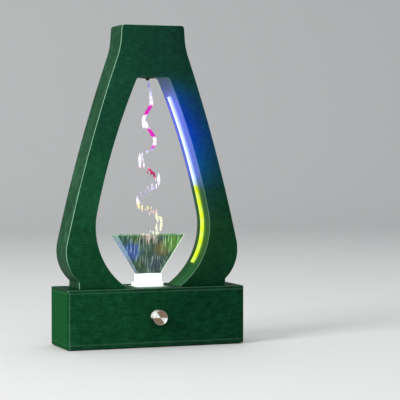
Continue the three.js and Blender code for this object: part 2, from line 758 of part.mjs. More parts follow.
// The basin's holder is a milky block on a flange. Its spigot leads the water into the tank.
basin.position.z = baseHeight + seat;
const holderTop = holder.flange + holder.blockHeight;
const spigotOutline = roundedRectangle(holder.spigotWidth, holder.spigotDepth, holder.corner);
const throatOutline = roundedRectangle(holder.throatWidth, holder.throatDepth, holder.corner);
const holderBody = join(
  slab(roundedRectangle(holder.width, holder.depth, holder.corner), holder.flange),
  slab(roundedRectangle(holder.blockWidth, holder.blockDepth, holder.corner), holderTop),
  slab(spigotOutline, holder.spigotLength + holder.flange).translate(0, 0, -holder.spigotLength),
);
const throat = slab(throatOutline, holder.spigotLength + holderTop + 2 * overrun)
  .translate(0, 0, -holder.spigotLength - overrun);
piece(basin, "basin_holder", cut(holderBody, throat), milkyPlastic);

// The hopper is four clear plates: the front and back ones are whole, and the two ends fit
// between them. It stands on a soft seal round the throat.
const hopper = {
  rimWidth: 88, rimDepth: 28, footWidth: 31, footDepth: 11, height: 48, sheet: 2, seal: 0.8,
};
const sealTop = holderTop + seat + hopper.seal;
const sealOutline = roundedRectangle(hopper.footWidth, hopper.footDepth, holder.corner);
const sealRing = slab(sealOutline, hopper.seal, throatOutline);
piece(basin, "hopper_seal", sealRing, softSilicone, 0, 0, holderTop + seat);

// A plate between two level four-sided outlines, given as their low and high X and Y
function slopedPlate(foot, rim) {
  const corners = ({ x0, x1, y0, y1 }, z) => [[x0, y0, z], [x1, y0, z], [x1, y1, z], [x0, y1, z]];
  const points = [...corners(foot, 0), ...corners(rim, hopper.height)];
  const faces = [[0, 3, 2, 1], [4, 5, 6, 7], [0, 1, 5, 4], [1, 2, 6, 5], [2, 3, 7, 6], [3, 0, 4, 7]];
  const geometry = new THREE.BufferGeometry();
  geometry.setAttribute("position", new THREE.Float32BufferAttribute(points.flat(), 3));
  geometry.setIndex(faces.flatMap(([a, b, c, d]) => [a, b, c, a, c, d]));
  geometry.computeVertexNormals();
  return geometry;
}

const endSheet = hopper.sheet * Math.hypot(1, (hopper.rimWidth - hopper.footWidth) / 2 / hopper.height);
function frontPlate(width, depth) {
  return { x0: -width / 2, x1: width / 2, y0: -depth / 2, y1: -depth / 2 + hopper.sheet };
}
function endPlate(width, depth) {
  const reach = depth / 2 - hopper.sheet - seat;
  return { x0: width / 2 - endSheet, x1: width / 2, y0: -reach, y1: reach };
}
const hopperFront = slopedPlate(
  frontPlate(hopper.footWidth, hopper.footDepth), frontPlate(hopper.rimWidth, hopper.rimDepth),
);
const hopperEnd = slopedPlate(
  endPlate(hopper.footWidth, hopper.footDepth), endPlate(hopper.rimWidth, hopper.rimDepth),
);
const hopperFoot = sealTop + seat;
piece(basin, "hopper_front", hopperFront, clearPlastic, 0, 0, hopperFoot);
piece(basin, "hopper_right", hopperEnd, clearPlastic, 0, 0, hopperFoot);
piece(basin, "hopper_back", hopperFront.clone().rotateZ(Math.PI), clearPlastic, 0, 0, hopperFoot);
piece(basin, "hopper_left", hopperEnd.clone().rotateZ(Math.PI), clearPlastic, 0, 0, hopperFoot);

// The flashing light board lies in the top's cut-out and shines up through the holder.
const flashBoard = { thickness: 1.4, lamp: 2.4, lampHeight: 0.9 };
const flashSlotWidth = holder.spigotWidth + 2 * seat;
const flashSlotDepth = holder.spigotDepth + 2 * seat;
const flashLampY = (flashSlotDepth + topCutDepth) / 4;
const flashLampX = holder.spigotWidth / 3;
const flashPlate = slab(
  rectangle(topCutWidth - 2 * seat, topCutDepth - 2 * seat), flashBoard.thickness,
  rectangle(flashSlotWidth, flashSlotDepth),
);
const flashLamps = [-1, 0, 1].flatMap((column) =>
  [-1, 1].map((side) =>
    block(flashBoard.lamp, flashBoard.lamp, 2 * flashBoard.lampHeight,
      column * flashLampX, side * flashLampY, flashBoard.thickness),
  ),
);
const flashHeight = -seat - seat - flashBoard.lampHeight - flashBoard.thickness;
piece(basin, "flash_board", join(flashPlate, ...flashLamps), circuitGreen, 0, 0, flashHeight);

// The stream leaves the nozzle as a smooth thread, swings wider as it falls and breaks into
// beads on the way to the hopper.
const stream = {
  length: 199, radius: 1.5, beads: 0.65, beadPitch: 9, swing: 20, growth: 110, wave: 50, crest: 26, sides: 6,
};
const streamSteps = 72;
function streamCentre(fall) {
  const reach = stream.swing * (1 - Math.exp(-fall / stream.growth));
  return point(reach * Math.cos((2 * Math.PI * (fall - stream.crest)) / stream.wave), -fall);
}
function streamRadius(fall) {
  const broken = Math.min(1, fall / stream.growth);
  return stream.radius - stream.beads * broken * Math.cos((2 * Math.PI * fall) / stream.beadPitch);
}
function streamGeometry() {
  const rings = Array.from({ length: streamSteps + 1 }, (_, i) => {
    const fall = (stream.length * i) / streamSteps;
    const centre = streamCentre(fall);
    const ahead = i ? streamCentre(fall + overrun).sub(centre).normalize() : point(0, -1);
    return disc(streamRadius(fall), stream.sides)
      .map((p) => [centre.x - p.x * ahead.y, p.y, centre.y + p.x * ahead.x]);
  });
  const first = streamCentre(0);
  const last = streamCentre(stream.length);
  const positions = [...rings.flat(), [first.x, 0, first.y], [last.x, 0, last.y]];
  const faces = [];
  for (let side = 0; side < stream.sides; side += 1) {
    const next = (side + 1) % stream.sides;
    for (let ring = 0; ring < streamSteps; ring += 1) {
      const [low, high] = [ring * stream.sides, (ring + 1) * stream.sides];
      faces.push([low + side, high + side, low + next], [low + next, high + side, high + next]);
    }
    const end = streamSteps * stream.sides;
    faces.push([rings.length * stream.sides, side, next]);
    faces.push([rings.length * stream.sides + 1, end + next, end + side]);
  }
  const geometry = new THREE.BufferGeometry();
  geometry.setAttribute("position", new THREE.Float32BufferAttribute(positions.flat(), 3));
  geometry.setIndex(faces.flat());
  geometry.computeVertexNormals();
  return geometry;
}
piece(frame, "water_stream", streamGeometry(), water, 0, 0, pivotHeight - nozzle.drop - seat);

// The tank stands on the bottom board, clear of the control and of the corner blocks. Its lid
// has a lip inside the wall, clamps a gasket and leaves room for the leads under the top.
const tank = { wall: 2, corner: 4, gasket: 1, lip: 4, lid: 2, frontGap: 3, leadRoom: 12.6 };
const tankFront = controlFront + control.depth + tank.frontGap;
const tankBack = blockY - play;
const tankWidth = tankRight - tankLeft;
const tankDepth = tankBack - tankFront;
const tankX = (tankRight + tankLeft) / 2;
const tankY = (tankBack + tankFront) / 2;
const tankFoot = floorHeight + seat;
const lidTop = topHeight - tank.leadRoom;
const lidFoot = lidTop - tank.lid;
const gasketFoot = lidFoot - seat - tank.gasket;
const tankHeight = gasketFoot - seat - tankFoot;
function tankOutline(inset) {
  return roundedRectangle(tankWidth - 2 * inset, tankDepth - 2 * inset, tank.corner - inset / 2);
}
const tankRoom = slab(tankOutline(tank.wall), tankHeight).translate(0, 0, tank.wall);
const tankTub = cut(slab(tankOutline(0), tankHeight), tankRoom);
piece(base, "water_tank", tankTub, greyPlastic, tankX, tankY, tankFoot);
const gasket = slab(tankOutline(0), tank.gasket, tankOutline(tank.wall));
piece(base, "tank_gasket", gasket, softSilicone, tankX, tankY, gasketFoot);
const lidLip = slab(tankOutline(tank.wall + seat), tank.lip + overrun, tankOutline(2 * tank.wall))
  .translate(0, 0, -tank.lip);
const lidCutLow = -tank.lip - overrun;
const lidCutHeight = tank.lip + tank.lid + 2 * overrun;
const lidSpigotHole = slab(rectangle(flashSlotWidth, flashSlotDepth), lidCutHeight)
  .translate(-tankX, -tankY, lidCutLow);
const lidHoseHole = rod(passageRadius, lidCutLow, lidCutLow + lidCutHeight)
  .translate(-legPassage - tankX, 0, 0);
const glandX = -holder.spigotWidth / 2 - 2 * tank.wall - leadGroove;
const glandY = tankDepth / 4;
const lidGland = rod(leadGroove, lidCutLow, lidCutLow + lidCutHeight, smallTurn)
  .translate(glandX - tankX, glandY, 0);
const lid = cut(join(slab(tankOutline(0), tank.lid), lidLip), lidSpigotHole, lidHoseHole, lidGland);
piece(base, "tank_lid", lid, greyPlastic, tankX, tankY, lidFoot);

// The pump lies in the tank with its inlet to the left and its outlet under the hose.
const pumpSize = {
  can: 9.5, canLength: 22, volute: 11, voluteBack: 4, voluteFront: 5, room: 8.6, roomBack: 2,
  spout: 3.3, spoutBore: 2.2, spoutReach: 24, cover: 2, inlet: 3.6,
};
const voluteMiddle = (pumpSize.voluteFront - pumpSize.roomBack) / 2;
const impeller = {
  hub: 2.4, disc: 8, discThickness: 1, blade: 1.2, bladeHeight: 4, bladeReach: 7.4, shaft: 1, count: 6,
};
const impellerBack = -pumpSize.roomBack + play;
pump.position.set(-legPassage + voluteMiddle, tankY, tankFoot + tank.wall + seat + pumpSize.volute);
pump.rotation.z = Math.PI;
const pumpBody = cut(
  join(
    alongX(rod(pumpSize.can, -pumpSize.voluteBack - pumpSize.canLength, 0)),
    alongX(rod(pumpSize.volute, -pumpSize.voluteBack, pumpSize.voluteFront)),
    rod(pumpSize.spout, pumpSize.room, pumpSize.spoutReach).translate(voluteMiddle, 0, 0),
  ),
  alongX(rod(pumpSize.room, -pumpSize.roomBack, pumpSize.voluteFront + overrun)),
  rod(pumpSize.spoutBore, 0, pumpSize.spoutReach + overrun).translate(voluteMiddle, 0, 0),
  alongX(rod(impeller.shaft + seat, -pumpSize.canLength / 2, 0, smallTurn)),
);
piece(pump, "pump_body", pumpBody, blackPlastic);
const coverRing = alongX(turnedRing([
  [pumpSize.inlet, 0],
  [pumpSize.volute, 0],
  [pumpSize.volute, pumpSize.cover],
  [pumpSize.inlet, pumpSize.cover],
], turn));
piece(pump, "pump_cover", coverRing, blackPlastic, pumpSize.voluteFront + seat);
const impellerHeight = impeller.bladeHeight + impeller.discThickness;
const bladeMiddle = (impeller.bladeReach + impeller.shaft) / 2;
const bladeReach = impeller.bladeReach - impeller.shaft;
const blade = block(impellerHeight, impeller.blade, bladeReach, impellerHeight / 2, 0, bladeMiddle);
const blades = Array.from({ length: impeller.count }, (_, i) =>
  blade.clone().rotateX((2 * Math.PI * i) / impeller.count),
);
const impellerBody = join(
  alongX(rod(impeller.hub, 0, impellerHeight)),
  alongX(rod(impeller.disc, 0, impeller.discThickness)),
  alongX(rod(impeller.shaft, -pumpSize.canLength / 2 - impellerBack + play, overrun, smallTurn)),
  ...blades,
);
piece(pump, "pump_impeller", impellerBody, greyPlastic, impellerBack);

// The hose runs from the pump's outlet up the left leg and over into the nozzle's top.
const spoutTop = pump.position.z + pumpSize.spoutReach + seat;
const hosePoints = [
  [-legPassage, tankY, spoutTop],
  [-legPassage, tankY, lidTop],
  [-legPassage, passageBehind, topHeight - hoseRadius],
  ...riserLine.map((p) => [p.x, passageBehind * Math.min(1, -p.x / bendRadius), frameFoot + p.y]),
  [0, 0, frameFoot + pivotHeight + nozzle.bodyHalf + nozzle.barbLength + play],
];
piece(lamp, "riser_hose", tube(hosePoints, hoseRadius, 6, 60), softSilicone);

// The circuit board clips onto a tray whose four posts end in pins.
const tray = { margin: 1, floor: 1.6, post: 3, postHeight: 9, pin: 1.4, pinRise: 1.5 };
const board = { width: 44, depth: 2 * (blockY - play - tray.margin), thickness: 1.6, inset: 4 };
const postTop = tray.floor + tray.postHeight;
const boardHeight = floorHeight + seat + postTop + seat;
const boardTop = boardHeight + board.thickness;
electronics.position.set(boardX, 0, 0);
const postX = board.width / 2 - board.inset;
const postY = board.depth / 2 - board.inset;
const postPlaces = [[postX, postY], [-postX, postY], [-postX, -postY], [postX, -postY]];
const posts = postPlaces.map(([x, y]) => turned([
  [0, 0],
  [tray.post, 0],
  [tray.post, postTop],
  [tray.pin, postTop],
  [tray.pin, postTop + board.thickness + tray.pinRise],
  [0, postTop + board.thickness + tray.pinRise],
], smallTurn).translate(x, y, 0));
const trayOutline = rectangle(board.width + 2 * tray.margin, board.depth + 2 * tray.margin);
const trayBody = join(slab(trayOutline, tray.floor), ...posts);
piece(electronics, "board_tray", trayBody, greyPlastic, 0, 0, floorHeight + seat);
const plateHoles = postPlaces.map(([x, y]) => disc(tray.pin + seat, smallTurn, x, y));
const capacitor = { radius: 4, height: 10, x: 8, low: -11, high: -1.5 };
const chip = { side: 9, height: 1.4, x: -4, y: 3 };
const inductor = { side: 8, height: 4.5, x: 9, y: 8.5 };
const socket = { width: 5, length: 6, height: 6, edge: 2, x: -12 };
const socketSpan = board.depth - 2 * socket.edge - socket.length;
const socketPlaces = [-1 / 2, -1 / 6, 1 / 6, 1 / 2].map((share) => share * socketSpan);
const boardParts = [
  rod(capacitor.radius, -overrun, capacitor.height).translate(capacitor.x, capacitor.low, board.thickness),
  rod(capacitor.radius, -overrun, capacitor.height).translate(capacitor.x, capacitor.high, board.thickness),
  block(chip.side, chip.side, 2 * chip.height, chip.x, chip.y, board.thickness),
  block(inductor.side, inductor.side, 2 * inductor.height, inductor.x, inductor.y, board.thickness),
  ...socketPlaces.map((y) =>
    block(socket.width, socket.length, 2 * socket.height, socket.x, y, board.thickness)),
];
const boardPlate = slab(rectangle(board.width, board.depth), board.thickness, ...plateHoles);
const boardUnderside = block(2 * board.width, 2 * board.depth, 2 * inductor.height + 2 * socket.height,
  0, 0, -inductor.height - socket.height);
const populated = cut(join(boardPlate, ...boardParts), boardUnderside);
piece(electronics, "circuit_board", populated, circuitGreen, 0, 0, boardHeight);

// The speed control: a rotary body, a nut that clamps it to the web, and the turning shaft
const terminal = { width: 1.5, thickness: 1, length: 6, pitch: 5 };
const terminalY = control.depth - control.back;
const controlBody = cut(
  join(
    alongY(rod(control.body, 0, control.depth)),
    alongY(rod(control.bushing, -control.bushingLength, overrun)),
    ...[-1, 0, 1].map((place) =>
      block(terminal.width, terminal.thickness, terminal.length,
        place * terminal.pitch, terminalY, -control.body),
    ),
  ),
  alongY(rod(control.shaft + seat, -control.bushingLength - overrun, control.depth - control.back)),
);
piece(base, "speed_control", controlBody, greyPlastic, 0, controlFront, knobHeight);

function hexNut(radius, bore, thickness) {
  return alongY(slab(disc(radius, 6), thickness, disc(bore, turn)));
}
const nutBack = -baseDepth / 2 - seat;
const nut = hexNut(controlNut.radius, control.bushing + seat, controlNut.thickness);
piece(base, "control_nut", nut, zincSteel, 0, nutBack - controlNut.thickness, knobHeight);

// The knob is turned from aluminium, hollow at the back over the nut, with a dished face.
const knob = { radius: 9.2, front: 12, chamfer: 0.7, dish: 0.3, rim: 1, face: 2, gap: 0.6, hollow: 7.3 };
const knobBack = -baseDepth / 2 - knob.gap;
const knobLength = knob.front - knob.gap;
const hollowDepth = controlFront - control.bushingLength - knobBack - play;
const shaftEnd = knobLength - knob.face - seat;
const knobBody = alongY(turned([
  [0, -knobLength + knob.dish],
  [knob.radius - knob.chamfer - knob.rim, -knobLength + knob.dish],
  [knob.radius - knob.chamfer - knob.dish, -knobLength],
  [knob.radius - knob.chamfer, -knobLength],
  [knob.radius, -knobLength + knob.chamfer],
  [knob.radius, 0],
  [knob.hollow, 0],
  [knob.hollow, hollowDepth],
  [control.shaft + seat, hollowDepth],
  [control.shaft + seat, -knobLength + knob.face],
  [0, -knobLength + knob.face],
], fineTurn));
piece(base, "knob", knobBody, spunAluminium, 0, knobBack, knobHeight);
const shaftLength = control.depth - control.back - play;
const shaft = alongY(rod(control.shaft, knobBack - controlFront - shaftEnd, shaftLength));
piece(base, "control_shaft", shaft, zincSteel, 0, controlFront, knobHeight);

// The power inlet: a threaded barrel with an outside flange, clamped by a nut inside
const jackFace = baseDepth / 2 + seat;
const jackBody = cut(
  join(
    alongY(rod(jack.barrel, -jack.length, overrun)),
    alongY(rod(jack.flange, 0, jack.flangeThickness)),
  ),
  alongY(turnedRing([
    [jackPin, -jack.boreDepth],
    [jack.bore, -jack.boreDepth],
    [jack.bore, jack.flangeThickness + overrun],
    [jackPin, jack.flangeThickness + overrun],
  ], turn)),
);
piece(base, "power_inlet", jackBody, blackPlastic, boardX, jackFace, jack.z);
const inletNut = hexNut(jackNut.radius, jack.barrel + seat, jackNut.thickness);
piece(base, "inlet_nut", inletNut, zincSteel, boardX, innerHalfDepth - seat - jackNut.thickness, jack.z);

// Leads inside the box and up the right leg. Each starts straight and comes straight down into
// its socket, and `via` holds the places that it passes in between.
const leadStraight = 4;
const socketRise = 9;
const leadLevel = (lidTop + topHeight) / 2;
const boardTopLead = boardTop + play;
const socketTop = boardTop + socket.height + play;
const socketX = boardX + socket.x;
const [controlSocket, flashSocket, pumpSocket, legSocket] = socketPlaces;
function mix(a, b, share) {
  return a.map((value, i) => value + (b[i] - value) * share);
}
function intoSocket(y) {
  return [[socketX, y, socketTop + socketRise], [socketX, y, socketTop]];
}
function above([x, y, z], rise) {
  return [x, y, z + rise];
}

const inletStart = [boardX, jackFace - jack.length - play, jack.z];
const inletEnd = [boardX - leadStraight, board.depth / 4, boardTopLead];
const inletTurn = [boardX, inletStart[1] - leadStraight, jack.z];
const inletRoute = [inletStart, inletTurn, above(inletEnd, leadStraight), inletEnd];

const controlLow = knobHeight - control.body - terminal.length / 2 - play;
const controlStart = [terminal.pitch, controlFront + terminalY, controlLow];
const controlTurn = above(controlStart, -leadStraight);
const [controlDrop] = intoSocket(controlSocket);
const controlRoute = [
  controlStart, controlTurn, [tankRight, controlStart[1], controlTurn[2]],
  mix([tankRight, controlStart[1], controlTurn[2]], controlDrop, 1 / 2), ...intoSocket(controlSocket),
];

const canEnd = pump.position.x + pumpSize.voluteBack + pumpSize.canLength + play;
const pumpStart = [canEnd, tankY, pump.position.z];
const pumpTurn = [canEnd + leadStraight, tankY, pump.position.z];
const glandLow = [glandX, tankY + glandY, lidFoot - 3 * leadStraight];
const glandTop = [glandX, tankY + glandY, leadLevel - leadRadius];
const pumpOver = [tankRight, tankY + glandY, leadLevel];
const [pumpDrop] = intoSocket(pumpSocket);
const pumpRoute = [
  pumpStart, pumpTurn, mix(pumpTurn, glandLow, 1 / 2), glandLow, [glandX, tankY + glandY, lidFoot], glandTop,
  mix(glandTop, pumpOver, 1 / 4), pumpOver, mix(pumpOver, pumpDrop, 1 / 2), ...intoSocket(pumpSocket),
];

const flashStart = [holder.spigotWidth / 2 + overrun, -flashLampY, baseHeight + seat + flashHeight - play];
const flashTurn = above(flashStart, -leadStraight);
const flashOver = [tankRight, mix(flashStart, [socketX, flashSocket, 0], 1 / 2)[1], leadLevel - leadRadius];
const [flashDrop] = intoSocket(flashSocket);
const flashRoute = [
  flashStart, flashTurn, mix(flashTurn, flashOver, 1 / 2), flashOver, mix(flashOver, flashDrop, 1 / 2),
  ...intoSocket(flashSocket),
];

const leads = {
  inlet_leads: inletRoute, control_leads: controlRoute, pump_leads: pumpRoute, flash_leads: flashRoute,
};
for (const [name, points] of Object.entries(leads)) {
  piece(lamp, name, tube(points, leadRadius, 5, 22), wireInsulation);
}
const [legDrop, legStart] = intoSocket(legSocket);
const legEntry = [legPassage, passageBehind, leadLevel];
const legRoute = [
  legStart, legDrop, mix(legDrop, legEntry, 1 / 2), legEntry,
  ...leadLine.map((p) => [p.x, passageBehind, frameFoot + p.y]),
];
const stripRoute = [
  [legMiddle(stripLeadHeight), passageBehind, frameFoot + stripLeadHeight],
  [openingEdge(stripLeadHeight) + play, stripLead.behind, frameFoot + stripLeadHeight],
];
const legLoom = join(tube(legRoute, leadRadius, 5, 46), tube(stripRoute, stripLead.radius, 5, 1));
piece(lamp, "leg_leads", legLoom, wireInsulation);

export default lamp;
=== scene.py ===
"""The anti-gravity fountain lamp: a leather-covered teardrop arch on a box. A nozzle in the arch
swings a thin stream of water into a clear hopper, lit from the side by a strip of lamps.
"""
import random
from math import asin, cos, degrees, hypot, pi, radians, sin

import bmesh
import bpy
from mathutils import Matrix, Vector


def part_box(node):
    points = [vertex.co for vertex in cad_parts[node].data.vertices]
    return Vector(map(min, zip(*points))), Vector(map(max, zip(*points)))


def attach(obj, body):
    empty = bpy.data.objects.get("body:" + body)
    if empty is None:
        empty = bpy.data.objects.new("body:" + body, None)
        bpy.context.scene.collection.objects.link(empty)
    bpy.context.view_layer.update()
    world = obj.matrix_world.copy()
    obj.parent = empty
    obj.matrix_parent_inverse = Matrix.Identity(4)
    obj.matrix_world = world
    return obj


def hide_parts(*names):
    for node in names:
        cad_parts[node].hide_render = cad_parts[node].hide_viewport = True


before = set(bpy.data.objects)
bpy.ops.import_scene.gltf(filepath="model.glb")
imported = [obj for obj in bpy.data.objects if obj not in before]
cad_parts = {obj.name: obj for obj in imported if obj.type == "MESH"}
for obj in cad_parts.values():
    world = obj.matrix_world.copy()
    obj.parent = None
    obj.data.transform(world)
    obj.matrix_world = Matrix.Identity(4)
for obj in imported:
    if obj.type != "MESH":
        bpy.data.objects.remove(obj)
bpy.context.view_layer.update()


# ---- The camera, the floor and the lamps of the studio ----
# A long lens looks from the left of the front and slightly down. The floor is one pale sheet that
# curves up behind the lamp, lit softly from the upper left.

MM = 0.001
LOOKS_DOWN, LOOKS_RIGHT = 1.862, 20.728
studio = bpy.context.scene
camera_data = bpy.data.cameras.new("camera")
camera_data.lens = 149.24
camera_data.sensor_width = 36
camera_data.clip_end = 100
camera = bpy.data.objects.new("camera", camera_data)
camera.location = (-0.6710, -1.9577, 0.2476)
camera.rotation_euler = (radians(90 - LOOKS_DOWN), 0, radians(-LOOKS_RIGHT))
studio.collection.objects.link(camera)
studio.camera = camera
studio.view_settings.view_transform = "Standard"


def new_material(name):
    """A material with its shader and its Object coordinates."""
    material = bpy.data.materials.new(name)
    material.use_nodes = True
    nodes = material.node_tree.nodes
    return material, nodes["Principled BSDF"], nodes.new("ShaderNodeTexCoord").outputs["Object"]


def wire(socket, value):
    """Sets a socket to a plain value, or links it to the output that feeds it."""
    if isinstance(value, bpy.types.NodeSocket):
        socket.id_data.links.new(value, socket)
    else:
        socket.default_value = value


def give(made, **inputs):
    """Fills the inputs of a node by their names, with _ for a space."""
    for name, value in inputs.items():
        wire(made.inputs[name.replace("_", " ")], value)


def alone():
    """Deselects all, so that an operator acts on the next piece only."""
    if bpy.context.object and bpy.context.object.mode == "EDIT":
        bpy.ops.object.mode_set(mode="OBJECT")
    bpy.ops.object.select_all(action="DESELECT")


def edit():
    """Goes into edit mode with the whole piece selected."""
    bpy.ops.object.mode_set(mode="EDIT")
    bpy.ops.mesh.select_mode(type="VERT")
    bpy.ops.mesh.select_all(action="SELECT")


def pick(kind, test):
    """Selects, in edit mode, only the faces or edges that pass the test."""
    bpy.ops.object.mode_set(mode="EDIT")
    bpy.ops.mesh.select_mode(type=kind)
    bpy.ops.mesh.select_all(action="DESELECT")
    mesh = bmesh.from_edit_mesh(bpy.context.object.data)
    for part in mesh.faces if kind == "FACE" else mesh.edges:
        if test(part):
            part.select_set(True)
    bmesh.update_edit_mesh(bpy.context.object.data)


def round_edges(test, radius, segments):
    """Rounds the edges that pass the test."""
    pick("EDGE", test)
    bpy.ops.mesh.bevel(offset=radius, segments=segments, affect="EDGES")


FLOOR_WIDE, FLOOR_DEEP, FLOOR_BACK, WALL_TALL = 9, 7, 0.4, 3.5
alone()
bpy.ops.mesh.primitive_plane_add(size=1, location=(0, 0, 0))
floor = bpy.context.object
floor.name = "floor"
edit()
bpy.ops.transform.resize(value=(FLOOR_WIDE, FLOOR_DEEP, 1))
bpy.ops.transform.translate(value=(0, FLOOR_BACK, 0))
pick("EDGE", lambda edge: all(v.co.y > 1 for v in edge.verts))
bpy.ops.mesh.extrude_region_move(TRANSFORM_OT_translate={"value": (0, 0, WALL_TALL)})
round_edges(lambda edge: all(v.co.y > 1 and v.co.z < 1 for v in edge.verts), 1.2, 16)
bpy.ops.object.mode_set(mode="OBJECT")
bpy.ops.object.shade_smooth_by_angle(angle=radians(40))
floor_paint, shader, place = new_material("studio_floor")
give(shader, Roughness=0.75, Base_Color=(0.66, 0.66, 0.65, 1))
floor.data.materials.append(floor_paint)

world = bpy.data.worlds.new("studio")
studio.world = world
world.use_nodes = True
give(world.node_tree.nodes["Background"], Color=(0.93, 0.96, 1.0, 1), Strength=0.55)


LAMP_AIM = Vector((0, 0, 0.2))


def lamp(name, place, size, power):
    """A soft lamp of that size, turned to the middle of the object."""
    data = bpy.data.lights.new(name, "AREA")
    data.shape = "RECTANGLE"
    data.size, data.size_y = size
    data.energy = power
    made = bpy.data.objects.new(name, data)
    made.location = place
    made.rotation_euler = (LAMP_AIM - made.location).to_track_quat("-Z", "Y").to_euler()
    studio.collection.objects.link(made)


lamp("window_left", (-2.3, -1.0, 1.5), (1.2, 1.2), 62)
lamp("soft_front", (-0.4, -2.7, 1.4), (1.4, 1.2), 18)
lamp("soft_top", (0.2, 0.5, 2.4), (1.6, 1.6), 18)


# ---- The leather ----
# Green leather with a polished grain: fine streaks run along each cut and a cloudy depth of colour
# lies under them. The paler green along the folds of the edges is a painted highlight, and a
# painted shade darkens the colour towards the right.

def shade(red, green, blue):
    """A colour as it is seen on a screen, 0 to 255, as the linear colour that a shader takes."""
    def linear(value):
        value /= 255
        return value / 12.92 if value <= 0.04045 else ((value + 0.055) / 1.055) ** 2.4
    return (linear(red), linear(green), linear(blue), 1)


def first_output(*values):
    """The first of some values that comes out of a node."""
    return next(value for value in values if isinstance(value, bpy.types.NodeSocket))


def node(near, kind, settings=None, **inputs):
    """Adds a shader node to the tree that the value `near` belongs to."""
    made = near.id_data.nodes.new("ShaderNode" + kind)
    for name, value in (settings or {}).items():
        setattr(made, name, value)
    give(made, **inputs)
    return made


def math_of(operation, first, *others):
    """The first value, with the operation done to it with each other value in turn."""
    for other in others or [0]:
        made = node(first_output(first, other), "Math", {"operation": operation})
        wire(made.inputs[0], first)
        wire(made.inputs[1], other)
        first = made.outputs[0]
    return first


def times(*values):
    """The product of some values."""
    return math_of("MULTIPLY", *values)


def minus(first, second):
    """The first value less the second."""
    return math_of("SUBTRACT", first, second)


def unsigned(value):
    """The size of a value, whatever its sign."""
    return math_of("ABSOLUTE", value)


def blend_of(share, first, second):
    """The colour between two others."""
    made = node(first_output(share, first, second), "Mix", {"data_type": "RGBA"})
    for index, value in ((0, share), (6, first), (7, second)):
        wire(made.inputs[index], value)
    return made.outputs[2]


def steps_of(value, *stops):
    """A colour ramp: each stop is a place from 0 to 1 and a colour or a grey."""
    made = node(value, "ValToRGB")
    elements = made.color_ramp.elements
    while len(elements) < len(stops):
        elements.new(0.5)
    for element, (where, colour) in zip(elements, stops):
        element.position = where
        element.color = colour if isinstance(colour, tuple) else (colour, colour, colour, 1)
    wire(made.inputs[0], value)
    return made.outputs[0]


def spread(value, low, high, to_low=0.0, to_high=1.0):
    """A value from low to high, spread over another range."""
    return node(value, "MapRange", Value=value, From_Min=low, From_Max=high,
                To_Min=to_low, To_Max=to_high).outputs[0]


def axes(vector):
    """The X, Y and Z of a vector."""
    return node(vector, "SeparateXYZ", Vector=vector).outputs[:]


def facing_axes(place):
    """The X, Y and Z of the direction in which the surface faces."""
    return axes(node(place, "NewGeometry").outputs["Normal"])


def distance(x, z, point=(0, 0)):
    """How far (x, z) is from a point, in metres."""
    made = node(x, "VectorMath", {"operation": "DISTANCE"},
                Vector=node(x, "CombineXYZ", X=x, Z=z).outputs[0])
    made.inputs[1].default_value = (point[0], 0, point[1])
    return made.outputs["Value"]


def noise(place, scale, detail=3.0, roughness=0.55):
    """Cloudy noise. The scale can differ along the three axes, and a larger one is finer."""
    scale = scale if isinstance(scale, (tuple, list)) else [scale] * 3
    moved = node(place, "Mapping", Vector=place, Scale=scale).outputs[0]
    return node(place, "TexNoise", Vector=moved, Scale=1, Detail=detail,
                Roughness=roughness).outputs[0]


def bump(height, strength, deep, **under):
    """The surface's normal tilted by a height. `Normal` can be another such normal under it."""
    return node(height, "Bump", Height=height, Strength=strength, Distance=deep,
                **under).outputs[0]


def modify(piece, kind, **settings):
    """Adds a modifier to a piece and applies it."""
    bpy.ops.object.mode_set(mode="OBJECT")
    bpy.context.view_layer.objects.active = piece
    made = piece.modifiers.new(kind.lower(), kind)
    for name, value in settings.items():
        setattr(made, name, value)
    bpy.ops.object.modifier_apply(modifier=made.name)


